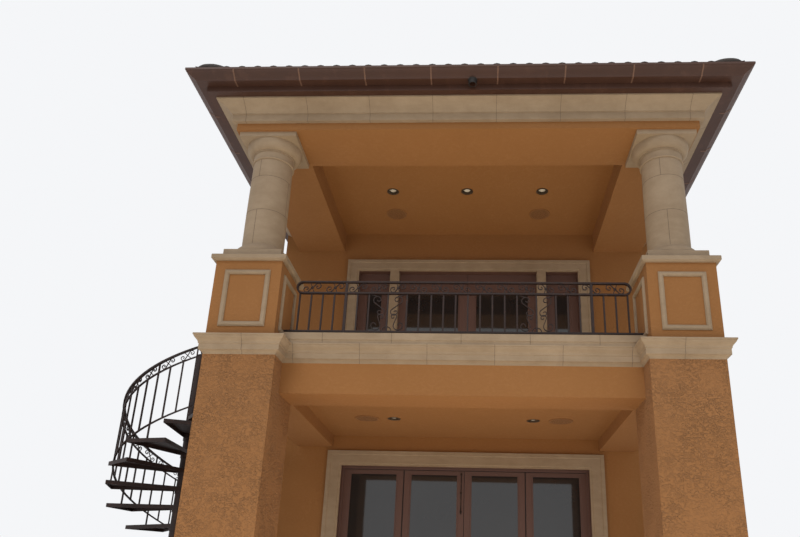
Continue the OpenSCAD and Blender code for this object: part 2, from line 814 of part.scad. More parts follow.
module upper_doors() color(aubergine) upper_openings() {
    leaf(0, upper_leaf_w, floor_z, upper_head_z, upper_sight);
    leaf(0, sidelight_w, floor_z, upper_head_z, upper_sight);
}

module upper_glass() color(glass_tint) upper_openings() {
    pane(0, upper_leaf_w, floor_z, upper_head_z, upper_sight);
    pane(0, sidelight_w, floor_z, upper_head_z, upper_sight);
}

// Wrought bar of the scrollwork: thickness in its curve and depth through the railing
bar_t = 9;
bar_d = 12;

// A straight bar in the XZ plane between two points [x, z]
module straight_bar(from, to) {
    d = to - from;
    translate([from[0], 0, from[1]]) rotate([0, -atan2(d[1], d[0]), 0])
        block([0, -bar_d / 2, -bar_t / 2], [norm(d), bar_d / 2, bar_t / 2]);
}

// A bar bent to a part of a circle in the XZ plane, from an angle through a sweep
module arc_bar(at, r, from, sweep)
    translate([at[0], 0, at[1]]) rotate([90, 0, 0]) rotate(from)
        rotate_extrude(angle = sweep)
            translate([r - bar_t / 2, -bar_d / 2]) square([bar_t, bar_d]);

// Points on a circle, from an angle through a sweep
function arc_points(at, r, from, sweep, steps) = [
    for (i = [0:steps]) at + r * [cos(from + sweep * i / steps), sin(from + sweep * i / steps)]
];

// One edge of an S-scroll: a spiral about a, a straight length and a spiral about b. Each
// spiral is an arc and then half a turn of half its radius. side is the edge's distance from
// the middle of the bar.
function scroll_edge(a, ra, b, rb, sweep, side) = let (
    d = b - a,
    off = atan2(d[1], d[0]) + acos((ra + rb) / norm(d)),
    a_end = off + sweep,
    b_end = off + 180 + sweep
) concat(
    arc_points(a + ra / 2 * [cos(a_end), sin(a_end)], ra / 2 + side, a_end + 180, -180, 7),
    arc_points(a, ra + side, a_end, -sweep, 11),
    arc_points(b, rb - side, off + 180, sweep, 11),
    arc_points(b + rb / 2 * [cos(b_end), sin(b_end)], rb / 2 - side, b_end, 180, 7)
);

// An S-scroll in the XZ plane between spirals about two points [x, z]
module scroll(a, ra, b, rb, sweep) {
    left = scroll_edge(a, ra, b, rb, sweep, bar_t / 2);
    right = scroll_edge(a, ra, b, rb, sweep, -bar_t / 2);
    translate([0, bar_d / 2, 0]) rotate([90, 0, 0]) linear_extrude(height = bar_d)
        polygon(concat(left, [for (i = [len(right) - 1:-1:0]) right[i]]));
}

// One S-scroll and the bar that crosses it, between two rails with this clear height
module band_scroll(w, clear) {
    r = 0.27 * clear;
    edge = r + bar_t / 2;
    scroll([w / 4, clear - edge], r, [3 * w / 4, edge], r, 235);
    straight_bar([0.42 * w, bar_t / 2], [0.58 * w, clear - bar_t / 2]);
}

// A row of them along X, on the band rail of a railing whose foot is on z = 0
module band_row(from, to, height) {
    cells = max(1, round((to - from) / picket_pitch / 2));
    w = (to - from) / cells;
    for (i = [0:cells - 1])
        translate([from + i * w, 0, height - band_h]) band_scroll(w, band_h - rail_t);
}

// Mirrored S and C scrolls on both sides of a scroll panel's middle picket, and the low arch
module scroll_panel() {
    low = rail_foot + rail_t;
    tall = railing_h - band_h - rail_t - low;
    half = scroll_w / 2;
    translate([0, 0, low]) {
        both_sides() {
            scroll([0.56 * half, 0.84 * tall], 0.2 * half, [0.34 * half, 0.52 * tall],
                   0.18 * half, 215);
            scroll([0.58 * half, 0.15 * tall], 0.24 * half, [0.36 * half, 0.39 * tall],
                   0.14 * half, 215);
            straight_bar([0.56 * half, 0.84 * tall + 0.2 * half],
                         [0.9 * half, tall - bar_t / 2]);
        }
        arc_bar([0, 0], 0.24 * half, 0, 180);
    }
}

// Rails along X on a railing whose foot is on z = 0 and whose top is at this height
module flat_rail(from, to, top)
    block([from, -rail_w / 2, top - rail_t], [to, rail_w / 2, top]);

// A picket from the bottom rail up into the band rail, and a post up into the top rail
module picket(x, height)
    block([x - picket_w / 2, -picket_w / 2, rail_foot + rail_t / 2],
          [x + picket_w / 2, picket_w / 2, height - band_h - rail_t / 2]);

module post(x, height)
    block([x - post_w / 2, -post_w / 2, 0], [x + post_w / 2, post_w / 2, height - rail_t / 2]);

// A straight railing panel of the given length along X from the origin
module railing_panel(length, height, posts) {
    pitches = ceil(length / picket_pitch);
    for (top = [rail_foot + rail_t, height - band_h, height]) flat_rail(0, length, top);
    for (i = [1:pitches - 1]) picket(i * length / pitches, height);
    for (x = posts) post(x, height);
}

// Places of the pickets and posts along the front
middle_half = middle_run / 2;
outer_run = run_half - middle_half - scroll_w;
outer_pitches = ceil(outer_run / picket_pitch);
outer_pitch = outer_run / outer_pitches;
middle_pitches = ceil(middle_run / picket_pitch);
front_pickets = concat(
    [for (side = [-1, 1], i = [0:outer_pitches]) side * (run_half - i * outer_pitch)],
    [for (i = [0:middle_pitches]) -middle_half + i * middle_run / middle_pitches],
    [for (side = [-1, 1]) side * (middle_half + scroll_w / 2)]
);
front_posts = [4 * outer_pitch - run_half, run_half - 3 * outer_pitch];

// The front railing's top rail turns down at its ends into the band rail
hook_r = band_h / 2;
hook_x = run_half + 50 - hook_r - rail_t / 2;

module front_railing() color(iron) translate([0, rail_y, coping_z]) {
    flat_rail(-rail_half, rail_half, rail_foot + rail_t);
    for (top = [railing_h - band_h, railing_h]) flat_rail(-hook_x, hook_x, top);
    both_sides() translate([hook_x, 0, railing_h - rail_t / 2 - hook_r])
        rotate([90, 0, 0]) rotate(-90) rotate_extrude(angle = 180)
            translate([hook_r - rail_t / 2, -rail_w / 2]) square([rail_t, rail_w]);
    for (x = front_pickets) picket(x, railing_h);
    for (x = front_posts) post(x, railing_h);
}

module right_railing() color(iron)
    translate([rail_x, pedestal_back_y, coping_z]) rotate(90)
        railing_panel(-pedestal_back_y, railing_h, [-pedestal_back_y / 2]);

module left_railings() color(iron) {
    front_length = gate_low - pedestal_back_y;
    translate([-rail_x, pedestal_back_y, coping_z]) rotate(90)
        railing_panel(front_length, railing_h, [front_length - post_w / 2]);
    translate([-rail_x, gate_high, coping_z]) rotate(90)
        railing_panel(-gate_high, railing_h, [post_w / 2]);
}

// Scrollwork of the balcony railings, cut round their posts and the scroll panels' pickets
module railing_scrolls() color(iron) difference() {
    union() {
        translate([0, rail_y, coping_z]) {
            both_sides() {
                band_row(middle_half + scroll_w, run_half, railing_h);
                band_row(middle_half, middle_half + scroll_w, railing_h);
                translate([middle_half + scroll_w / 2, 0, 0]) scroll_panel();
            }
            band_row(-middle_half, middle_half, railing_h);
        }
        translate([rail_x, pedestal_back_y, coping_z]) rotate(90)
            band_row(0, -pedestal_back_y, railing_h);
        translate([-rail_x, pedestal_back_y, coping_z]) rotate(90)
            band_row(0, gate_low - pedestal_back_y - post_w, railing_h);
        translate([-rail_x, gate_high, coping_z]) rotate(90)
            band_row(post_w, -gate_high, railing_h);
    }
    translate([0, rail_y, coping_z]) {
        for (x = front_posts) post(x, railing_h);
        for (side = [-1, 1]) picket(side * (middle_half + scroll_w / 2), railing_h);
    }
    translate([rail_x, pedestal_back_y / 2, coping_z]) rotate(90) post(0, railing_h);
}

// The stair goes down clockwise, seen from above, from the front edge of its landing. Its
// parts are drawn the other way round about the pole's axis and mirrored here.
module stair_place() translate([stair_x, stair_y, 0]) mirror([0, 1, 0]) children();

// Pole with a foot plate, a collar under each tread, a domed cap and a slim post on the cap
dome_r = 1.4 * pole_r;
guard_h = coping_z + railing_h - floor_z;
module stair_pole() color(iron) stair_place() {
    top = floor_z + pole_rise;
    cylinder(r = pole_r, h = top);
    cylinder(r = pole_r + 70, h = 16);
    intersection() {
        translate([0, 0, top - sqrt(dome_r * dome_r - pole_r * pole_r)]) sphere(r = dome_r);
        translate([0, 0, top - cut]) cylinder(r = pole_r, h = pole_r);
    }
    cylinder(r = post_w / 2, h = floor_z + guard_h);
    for (i = [1:treads])
        translate([0, 0, i * riser - tread_t - collar_h]) cylinder(r = pole_r + 9, h = collar_h);
}

// Angle of the middle of tread i, counted from the ground
function tread_angle(i) = landing_half + (risers - i - 0.5) * tread_turn;

// Outline of a tread: straight outer edge, a little wider than its step of the turn
module tread_shape(inset) {
    outer = stair_r * cos(tread_half) - inset;
    wide = stair_r * sin(tread_half) - 1.6 * inset;
    narrow = pole_r - 0.9 * inset;
    polygon([[0, -narrow], [outer, -wide], [outer, wide], [0, narrow]]);
}

// Pressed treads, hollow below, round the pole
module stair_treads() color(iron) stair_place() difference() {
    for (i = [1:treads]) rotate(tread_angle(i)) translate([0, 0, i * riser - tread_t])
        difference() {
            linear_extrude(height = tread_t) tread_shape(0);
            translate([0, 0, -cut]) linear_extrude(height = tread_t - tread_plate + cut)
                intersection() {
                    tread_shape(tread_plate);
                    translate([pole_r + 2 * tread_plate, -stair_r]) square(2 * stair_r);
                }
        }
    translate([0, 0, -cut]) cylinder(r = pole_r, h = floor_z);
}

// Landing from the pole to the foot of the side cornice
landing_corner = [stair_r * cos(landing_half), gate_w / 2];
module stair_landing() color(iron) stair_place() translate([0, 0, floor_z - tread_t]) {
    half = gate_w / 2;
    edge = stair_offset + 0.58 * cornice_p;
    difference() {
        linear_extrude(height = tread_t)
            polygon([[0, 0], [landing_corner[0], -half], [edge, -half], [edge, half],
                     landing_corner]);
        translate([0, 0, -cut]) cylinder(r = pole_r, h = tread_t + 2 * cut);
    }
}

// Height of the slope along the treads' front edges at an angle from the landing's middle
function helix_z(a) = floor_z - (a - landing_half) / tread_turn * riser;

// One rod swept round the stair between two angles, at a height z above that slope, in this
// many straight lengths to a tread
rod_steps = 6;
module helix_rod(r, from, to, z, half_w, half_h) {
    count = round((to - from) / tread_turn * rod_steps);
    ring = [[-half_w, -half_h], [half_w, -half_h], [half_w, half_h], [-half_w, half_h]];
    sides = len(ring);
    points = [for (k = [0:count]) let (a = from + (to - from) * k / count) for (p = ring)
        [(r + p[0]) * cos(a), (r + p[0]) * sin(a), helix_z(a) + z + p[1]]];
    faces = concat(
        [[for (j = [sides - 1:-1:0]) j]],
        [[for (j = [0:sides - 1]) count * sides + j]],
        [for (k = [0:count - 1]) for (j = [0:sides - 1])
            let (n = (j + 1) % sides, b = k * sides)
                [b + j, b + sides + n, b + sides + j]],
        [for (k = [0:count - 1]) for (j = [0:sides - 1])
            let (n = (j + 1) % sides, b = k * sides)
                [b + j, b + n, b + sides + n]]
    );
    polyhedron(points = points, faces = faces, convexity = 10);
}

// Helical railing: handrail, band rod and bottom rod, three pickets to a tread, of which the
// middle one stands on the tread, and posts on the ground just clear of the lowest tread and
// at the landing's corner
stair_end = tread_angle(1) + 0.62 * tread_turn;
band_rod_z = handrail_h - band_h + 10;
bottom_rod_z = 60;
handrail_half = 12;
rod_half = 9;
newel = [stair_rail_r * cos(landing_half), gate_w / 2 - rail_w / 2];
module stair_railing() color(iron) stair_place() {
    helix_rod(stair_rail_r, landing_half, stair_end, handrail_h, 20, handrail_half);
    helix_rod(stair_rail_r, landing_half, stair_end, band_rod_z, 12, rod_half);
    helix_rod(stair_rail_r, landing_half, stair_end, bottom_rod_z, 12, rod_half);
    for (i = [1:treads], k = [-1:1]) {
        a = tread_angle(i) + k * tread_turn / 3;
        low = k == 0 ? i * riser : helix_z(a) + bottom_rod_z;
        high = helix_z(a) + (k == 0 ? handrail_h : band_rod_z);
        rotate(a) translate([stair_rail_r, 0, 0])
            block([-picket_w / 2, -picket_w / 2, low], [picket_w / 2, picket_w / 2, high]);
    }
    rotate(stair_end) translate([stair_rail_r, 0, 0])
        block([-post_w / 2, -post_w / 2, 0],
              [post_w / 2, post_w / 2, helix_z(stair_end) + handrail_h + 40]);
    translate([newel[0], newel[1], floor_z])
        block([-post_w / 2, -post_w / 2, 0], [post_w / 2, post_w / 2, guard_h + 20]);
}

// Scrolls between the handrail and the band rod, two to a tread, each laid on the slope
stair_cell = tread_turn / 2;
stair_slope = atan(riser / (stair_rail_r * tread_turn * PI / 180));
band_clear = handrail_h - handrail_half - band_rod_z - rod_half;
module stair_scrolls() color(iron) stair_place() difference() {
    w = 2 * stair_rail_r * sin(stair_cell / 2) / cos(stair_slope);
    clear = band_clear * cos(stair_slope);
    for (i = [0:2 * treads - 1]) {
        a = landing_half + (i + 0.5) * stair_cell;
        rotate(a)
            translate([stair_rail_r, 0, helix_z(a) + band_rod_z + rod_half + band_clear / 2])
                rotate([-stair_slope, 0, 0]) rotate(90) translate([-w / 2, 0, -clear / 2])
                    band_scroll(w, clear);
    }
    for (i = [1:treads]) rotate(tread_angle(i)) translate([stair_rail_r, 0, 0])
        block([-picket_w / 2, -picket_w / 2, 0], [picket_w / 2, picket_w / 2, floor_z + 1000]);
}

// A flat rail from the origin by way of a bend to an end point, mitred at the bend
module bent_rail(bend, end, top) {
    first = [-bend[1], bend[0]] / norm(bend);
    second = [bend[1] - end[1], end[0] - bend[0]] / norm(end - bend);
    mitre = (first + second) / (1 + first * second);
    half = rail_w / 2;
    translate([0, 0, top - rail_t]) linear_extrude(height = rail_t)
        polygon([half * first, bend + half * mitre, end + half * second,
                 end - half * second, bend - half * mitre, -half * first]);
}

// Guard of the landing: from the pole to the rear corner and on to the balcony, and a short
// length at the front from the stair's top post to the balcony
module landing_guard() color(iron) difference() {
    stair_place() translate([0, 0, floor_z]) {
        end_x = -rail_x - stair_x + post_w / 2;
        bend = [landing_corner[0], rail_w / 2 - landing_corner[1]];
        pickets = floor(norm(bend) / picket_pitch);
        rear = ceil((end_x - bend[0]) / picket_pitch);
        for (top = [rail_foot + rail_t, guard_h - band_h, guard_h])
            bent_rail(bend, [end_x, bend[1]], top);
        rotate(atan2(bend[1], bend[0]))
            for (i = [1:pickets]) picket(i * norm(bend) / (pickets + 1), guard_h);
        translate([0, bend[1], 0]) {
            for (i = [1:rear - 1]) picket(bend[0] + i * (end_x - bend[0]) / rear, guard_h);
            for (x = [bend[0], end_x - post_w / 2]) post(x, guard_h);
        }
        translate([newel[0] + post_w / 2, newel[1], 0])
            railing_panel(end_x - newel[0] - post_w / 2, guard_h,
                          [end_x - newel[0] - post_w]);
    }
    stair_pole();
}

// Round lamps let into the ceilings: a trim ring and the lens above it
lamp_trim_t = 4;
module lamp(z) translate([0, 0, z]) {
    difference() {
        translate([0, 0, -lamp_trim_t]) cylinder(r = lamp_r + lamp_rim, h = lamp_trim_t);
        translate([0, 0, -lamp_trim_t - cut])
            cylinder(r = lamp_r - lamp_rim, h = lamp_trim_t + 2 * cut);
    }
    difference() {
        cylinder(r = lamp_r, h = 60);
        translate([0, 0, -cut]) cylinder(r = lamp_r - lamp_rim, h = 40);
    }
}

module downlights() color("white") {
    for (p = lower_lamps) translate([p[0], p[1], 0]) lamp(lower_ceiling_z);
    for (p = upper_lamps) translate([p[0], p[1], 0]) lamp(upper_ceiling_z);
}

// Round flush loudspeaker grilles under the ceilings
module speakers(places, z)
    for (p = places) translate([p[0], p[1], z - speaker_t]) cylinder(r = speaker_r, h = speaker_t);

module speaker_grilles() color("white") {
    speakers(lower_speakers, lower_ceiling_z);
    speakers(upper_speakers, upper_ceiling_z);
}

pier_left();
pier_right();
lower_front_beam();
lower_side_beams();
lower_ceiling();
balcony_slab();
balcony_floor();
pier_cornices();
front_cornice();
side_cornices();
copings();
pedestals();
pedestal_frames();
pedestal_caps();
column_left();
column_right();
upper_front_beam();
upper_side_beams();
upper_ceiling();
upper_cornice();
eave_box();
gutter();
roof_deck();
roof_tiles();
lower_walls();
lower_wall_head();
upper_walls();
upper_wall_head();
lower_surround();
threshold();
door_frame();
fixed_leaves();
fixed_glass();
left_leaf();
left_glass();
right_leaf();
right_glass();
door_hinges();
door_handle();
top_bolt();
upper_surround();
upper_doors();
upper_glass();
front_railing();
right_railing();
left_railings();
railing_scrolls();
stair_pole();
stair_treads();
stair_landing();
stair_railing();
stair_scrolls();
landing_guard();
downlights();
speaker_grilles();
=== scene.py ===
from math import asin, atan2, cos, hypot, pi, radians, sin, tan

import bmesh
import bpy
from mathutils import Matrix, Vector


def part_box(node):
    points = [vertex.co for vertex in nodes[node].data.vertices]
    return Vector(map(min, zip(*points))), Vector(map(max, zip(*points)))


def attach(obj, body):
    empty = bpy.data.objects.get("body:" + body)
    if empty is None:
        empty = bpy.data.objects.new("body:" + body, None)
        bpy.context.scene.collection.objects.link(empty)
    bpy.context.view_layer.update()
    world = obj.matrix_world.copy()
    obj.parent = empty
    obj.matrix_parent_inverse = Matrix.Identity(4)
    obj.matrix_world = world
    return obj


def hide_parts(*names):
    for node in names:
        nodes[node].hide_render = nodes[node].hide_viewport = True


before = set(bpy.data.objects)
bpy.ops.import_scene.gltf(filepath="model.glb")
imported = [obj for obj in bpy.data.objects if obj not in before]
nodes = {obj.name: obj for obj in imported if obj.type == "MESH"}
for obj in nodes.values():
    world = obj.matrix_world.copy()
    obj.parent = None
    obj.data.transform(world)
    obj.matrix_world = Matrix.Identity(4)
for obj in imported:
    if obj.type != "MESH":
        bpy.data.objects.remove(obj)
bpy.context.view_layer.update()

scene = bpy.context.scene
scene.view_settings.view_transform = "Standard"

# Camera: low down, about ten metres in front of the wall and a little right of the middle,
# looking up at the bay. The shift keeps the picture's centre where the photograph has it.
picture_w, focal_px = 800, 695.74
eye = Vector((0.2205, -10.2, 0.6434))
yaw, pitch, roll = radians(-3.17), radians(20.107), radians(1.65)
ahead = Vector((sin(yaw) * cos(pitch), cos(yaw) * cos(pitch), sin(pitch)))
level = Vector((cos(yaw), -sin(yaw), 0))
upright = level.cross(ahead)
right = cos(roll) * level + sin(roll) * upright
above = cos(roll) * upright - sin(roll) * level
lens = bpy.data.cameras.new("camera")
lens.sensor_width = 36
lens.lens = focal_px * lens.sensor_width / picture_w
lens.shift_x = -0.0556
lens.shift_y = 0.09
camera = bpy.data.objects.new("camera", lens)
camera.matrix_world = Matrix((
    (right.x, above.x, -ahead.x, eye.x),
    (right.y, above.y, -ahead.y, eye.y),
    (right.z, above.z, -ahead.z, eye.z),
    (0, 0, 0, 1),
))
scene.collection.objects.link(camera)
scene.camera = camera


# Daylight: a soft sun from the front and an even pale light all round, which shows white
# behind the bay and in what glass and metal reflect.
class Term:
    """A value, colour or vector of a node tree, which takes part in Python arithmetic."""

    def __init__(self, tree, socket):
        self.tree, self.socket = tree, socket

    def node(self, kind, sockets=(), output=0, **settings):
        """A new node: its settings first, then the values or links of its sockets."""
        made = self.tree.nodes.new(kind)
        stops = settings.pop("stops", ())
        for name, value in settings.items():
            setattr(made, name, value)
        for number, (place, colour) in enumerate(stops):
            ramp = made.color_ramp.elements
            stop = ramp[number] if number < 2 else ramp.new(place)
            stop.position, stop.color = place, (*colour, 1)
        inputs = {socket.identifier: socket for socket in made.inputs}
        for name, value in dict(sockets).items():
            if isinstance(value, Term):
                self.tree.links.new(value.socket, inputs[name])
            else:
                inputs[name].default_value = value
        return Term(self.tree, made.outputs[output])

    def math(self, operation, first, second=0.0):
        return self.node("ShaderNodeMath", {"Value": first, "Value_001": second},
                         operation=operation)

    def __add__(self, other):
        return self.math("ADD", self, other)

    def __radd__(self, other):
        return self.math("ADD", other, self)

    def __sub__(self, other):
        return self.math("SUBTRACT", self, other)

    def __rsub__(self, other):
        return self.math("SUBTRACT", other, self)

    def __mul__(self, other):
        return self.math("MULTIPLY", self, other)

    def __rmul__(self, other):
        return self.math("MULTIPLY", other, self)

    def noise(self, scale, detail=4, rough=0.6, stretch=None):
        """Noise over this place, as a term from 0 to 1."""
        place = self
        if stretch:
            place = self.node("ShaderNodeVectorMath", {"Vector": self, "Vector_001": stretch},
                              operation="MULTIPLY")
        return place.node("ShaderNodeTexNoise", {"Vector": place, "Scale": scale,
                                                 "Detail": detail, "Roughness": rough})

    def ramp(self, low, high):
        """0 below low, 1 above high and smooth between them."""
        return self.node("ShaderNodeMapRange", {"Value": self, "From Min": low,
                                                "From Max": high},
                         interpolation_type="SMOOTHSTEP")

    def blend(self, none, full):
        """From one colour to another as this term goes from 0 to 1."""
        colours = {name: (*value, 1) if isinstance(value, tuple) else value
                   for name, value in (("A_Color", none), ("B_Color", full))}
        return self.node("ShaderNodeMix", {"Factor_Float": self, **colours}, output=2,
                         data_type="RGBA")

    def bump(self, strength):
        """The surface's normal with this term as its height in metres."""
        return self.node("ShaderNodeBump", {"Height": self, "Strength": strength,
                                            "Distance": 1.0})


def looked_at(tree):
    """1 where the camera, a mirror or a pane shows this surface, and 0 where it only lights."""
    rays = Term(tree, None)
    total = (rays.node("ShaderNodeLightPath", output="Is Camera Ray")
             + rays.node("ShaderNodeLightPath", output="Is Glossy Ray")
             + rays.node("ShaderNodeLightPath", output="Is Transmission Ray"))
    return total.math("MINIMUM", total, 1.0)


world = bpy.data.worlds.new("sky")
world.use_nodes = True
scene.world = world
sky = world.node_tree.nodes["Background"]
light_level, shown_extra = 0.48, 0.46
strength = light_level + looked_at(world.node_tree) * shown_extra
world.node_tree.links.new(strength.socket, sky.inputs["Strength"])
sky.inputs["Color"].default_value = (0.97, 0.98, 1.0, 1)

sun = bpy.data.lights.new("sun", "SUN")
sun.energy = 0.62
sun.angle = radians(25)
sun_holder = bpy.data.objects.new("sun", sun)
sun_holder.rotation_euler = (radians(52), 0, radians(-18))
scene.collection.objects.link(sun_holder)
# Light thrown back up from the floor in front, the porch and the balcony, warmed by the stucco.
for name, wide, deep, power, place in (("paving_glow", 14, 8, 330, (0, -7.2, 0.05)),
                                       ("porch_glow", 3.6, 2.6, 26, (0, -1.5, 0.09)),
                                       ("balcony_glow", 4.0, 2.0, 30, (0, -1.3, 3.12))):
    glow = bpy.data.lights.new(name, "AREA")
    glow.shape = "RECTANGLE"
    glow.size, glow.size_y, glow.energy = wide, deep, power
    glow.color = (1.0, 0.85, 0.60)
    glow_holder = bpy.data.objects.new(name, glow)
    glow_holder.matrix_world = Matrix.Translation(place) @ Matrix.Rotation(pi, 4, "X")
    glow_holder.visible_glossy = False
    glow_holder.visible_camera = False
    scene.collection.objects.link(glow_holder)

floor_mesh = bpy.data.meshes.new("ground")
reach = 160
floor_mesh.from_pydata([(-reach, -reach, 0), (reach, -reach, 0), (reach, reach, 0),
                        (-reach, reach, 0)], [], [(0, 1, 2, 3)])
ground = bpy.data.objects.new("ground", floor_mesh)
scene.collection.objects.link(ground)
pale = bpy.data.materials.new("pale_floor")
pale.use_nodes = True
matt = pale.node_tree.nodes["Principled BSDF"]
matt.inputs["Base Color"].default_value = (0.8, 0.8, 0.79, 1)
matt.inputs["Roughness"].default_value = 0.9
matt.inputs["Emission Strength"].default_value = 1.0
lift = looked_at(pale.node_tree).blend((0.0, 0.0, 0.0), (0.33, 0.33, 0.34))
pale.node_tree.links.new(lift.socket, matt.inputs["Emission Color"])
floor_mesh.materials.append(pale)


# Stucco: the piers, pedestals, beams, ceilings and house wall are masonry and framing under
# cement render, skip-trowelled by hand in a golden brown and left rougher on the piers.
def coated(name, varied, **uniform):
    """A material: uniform values sit on the shader's own sockets, and varied(place) returns
    the terms that change over the surface, place being its object coordinates."""
    material = bpy.data.materials.new(name)
    material.use_nodes = True
    shader = material.node_tree.nodes["Principled BSDF"]
    for socket, value in uniform.items():
        shader.inputs[socket.replace("_", " ")].default_value = value
    place = Term(material.node_tree, None).node("ShaderNodeTexCoord", output="Object")
    for socket, term in varied(place).items():
        material.node_tree.links.new(term.socket, shader.inputs[socket.replace("_", " ")])
    return material


def dress(material, *names):
    """CAD nodes keep their shape and take this material."""
    for name in names:
        mesh = nodes[name].data
        mesh.materials.clear()
        mesh.materials.append(material)


def trowelled(patch, relief, pale, dark):
    """Render that the trowel skipped over: patches of small ridges, this high in metres, lie
    between patches that it pressed smooth."""
    def varied(place):
        cloud = place.noise(0.9, 5, 0.55)
        worked = place.noise(0.3 * patch, 3, 0.55).ramp(0.32, 0.66) * 0.6 + 0.4
        ridges = place.noise(2.1 * patch, 4, 0.6, stretch=(1, 1, 1.5))
        skips = ridges.ramp(0.44, 0.64) * worked
        pocks = place.noise(4.0 * patch, 3, 0.6).ramp(0.56, 0.70) * worked
        grain = place.noise(140, 3, 0.7)
        # The raised ridges are painted lighter as a painted highlight and the pits darker as
        # painted shade, on top of the bump that shades them.
        tone = (cloud * 0.58 + skips * 0.22 - pocks * 0.06 + grain * 0.2).ramp(0.15, 0.85)
        colour = tone.blend(dark, pale)
        streaks = place.noise(2.2, 4, 0.6, stretch=(1, 1, 0.12)).ramp(0.56, 0.85) * 0.12
        colour = streaks.blend(colour, (dark[0] * 0.7, dark[1] * 0.66, dark[2] * 0.6))
        height = skips * relief - pocks * (0.45 * relief) + grain * 0.0006
        return {"Base_Color": colour, "Roughness": 0.97 - tone * 0.08,
                "Normal": height.bump(1.0)}
    return varied


rough_render = coated("rough_stucco", trowelled(13, 0.011, (0.375, 0.178, 0.070),
                                                (0.318, 0.147, 0.054)))
fine_render = coated("fine_stucco", trowelled(11, 0.0016, (0.355, 0.160, 0.053),
                                              (0.312, 0.138, 0.043)))
dress(rough_render, "pier_left", "pier_right")
dress(fine_render, "pedestals", "lower_front_beam", "lower_side_beams", "lower_ceiling",
      "lower_walls", "lower_wall_head", "upper_front_beam", "upper_side_beams", "upper_ceiling",
      "upper_walls", "upper_wall_head")


# Cast stone: cornices, copings, pedestal caps and frames, columns and door surrounds are cast
# limestone, set in mortar and cramped back; it is honed, cream and faintly clouded.
def limestone(place):
    cloud = place.noise(1.6, 6, 0.6)
    veins = place.noise(5.5, 4, 0.7, stretch=(1, 1, 2.4))
    pits = place.noise(120, 3, 0.6)
    tone = (cloud * 0.55 + veins * 0.35 + pits * 0.1).ramp(0.25, 0.75)
    colour = tone.blend((0.300, 0.214, 0.136), (0.425, 0.318, 0.216))
    rain = place.noise(3.4, 4, 0.65, stretch=(1, 1, 0.15)).ramp(0.55, 0.8) * 0.3
    colour = rain.blend(colour, (0.25, 0.175, 0.115))
    height = cloud * 0.001 + pits.ramp(0.35, 0.5) * 0.0005
    return {"Base_Color": colour, "Roughness": 0.84 - tone * 0.1, "Normal": height.bump(0.7)}


stone = coated("cast_limestone", limestone)
dress(stone, "pier_cornices", "front_cornice", "side_cornices", "copings", "pedestal_frames",
      "pedestal_caps", "column_left", "column_right", "upper_cornice", "lower_surround",
      "threshold", "upper_surround")


# Joints of the stone runs: mortar squeezed level between two stones and struck almost flush.
# Each joint is a thin slab with the outline of its moulding, and the runs repeat one slab.
def tree_of(name, **inputs):
    """A Geometry Nodes tree with a geometry input and output and these named inputs."""
    tree = bpy.data.node_groups.new(name, "GeometryNodeTree")
    sockets = {"Geometry": "Geometry", **inputs, "Material": "Material"}
    for label, kind in sockets.items():
        tree.interface.new_socket(label, in_out="INPUT", socket_type="NodeSocket" + kind)
    tree.interface.new_socket("Geometry", in_out="OUTPUT", socket_type="NodeSocketGeometry")
    entry = tree.nodes.new("NodeGroupInput")
    return tree, {label: Term(tree, entry.outputs[label]) for label in sockets}


def close_tree(geometry, given):
    """The tree's end: real geometry in one material."""
    real = geometry.node("GeometryNodeRealizeInstances", {"Geometry": geometry})
    coloured = real.node("GeometryNodeSetMaterial",
                         {"Geometry": real, "Material": given["Material"]})
    last = geometry.tree.nodes.new("NodeGroupOutput")
    geometry.tree.links.new(coloured.socket, last.inputs["Geometry"])


def grown(name, tree, base, **values):
    """The plain mesh that a tree makes of a base mesh with these input values."""
    holder = bpy.data.objects.new(name, base)
    scene.collection.objects.link(holder)
    modifier = holder.modifiers.new(name, "NODES")
    modifier.node_group = tree
    for socket in tree.interface.items_tree:
        if socket.in_out == "INPUT" and socket.name in values:
            modifier[socket.identifier] = values[socket.name]
    bpy.context.view_layer.update()
    ready = holder.evaluated_get(bpy.context.evaluated_depsgraph_get())
    mesh = bpy.data.meshes.new_from_object(ready)
    holder.modifiers.clear()
    bpy.data.objects.remove(holder)
    return mesh


def piece(name, mesh, body="root", material=None, smooth=None):
    """A finished piece: its mesh at its place, riding on a body."""
    made = bpy.data.objects.new(name, mesh)
    scene.collection.objects.link(made)
    if material:
        mesh.materials.clear()
        mesh.materials.append(material)
    if smooth:
        mesh.shade_smooth()
        mesh.set_sharp_from_angle(angle=radians(smooth))
    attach(made, body)
    return made


def joined(name, meshes):
    """One mesh of several."""
    bm = bmesh.new()
    for mesh in meshes:
        bm.from_mesh(mesh)
    whole = bpy.data.meshes.new(name)
    bm.to_mesh(whole)
    bm.free()
    for material in meshes[0].materials:
        whole.materials.append(material)
    return whole


def prism(name, outline, low, high, axes="yzx"):
    """A closed slab: outline points (first, second axis) between two levels of the third."""
    bm = bmesh.new()
    order = ["xyz".index(axis) for axis in axes]
    rings = []
    for level in (low, high):
        ring = []
        for point in outline:
            place = [0, 0, 0]
            for axis, value in zip(order, (*point, level)):
                place[axis] = value
            ring.append(bm.verts.new(place))
        rings.append(ring)
    count = len(outline)
    bm.faces.new(rings[0])
    bm.faces.new(rings[1])
    for i in range(count):
        j = (i + 1) % count
        bm.faces.new((rings[0][i], rings[0][j], rings[1][j], rings[1][i]))
    bmesh.ops.recalc_face_normals(bm, faces=bm.faces)
    mesh = bpy.data.meshes.new(name)
    bm.to_mesh(mesh)
    bm.free()
    return mesh


def points(name, places, turns=None):
    """A mesh of loose vertices, each with its turn about the vertical in radians."""
    mesh = bpy.data.meshes.new(name)
    mesh.from_pydata(places, [], [])
    turn = mesh.attributes.new("turn", "FLOAT", "POINT")
    turn.data.foreach_set("value", list(turns) if turns else [0.0] * len(places))
    return mesh


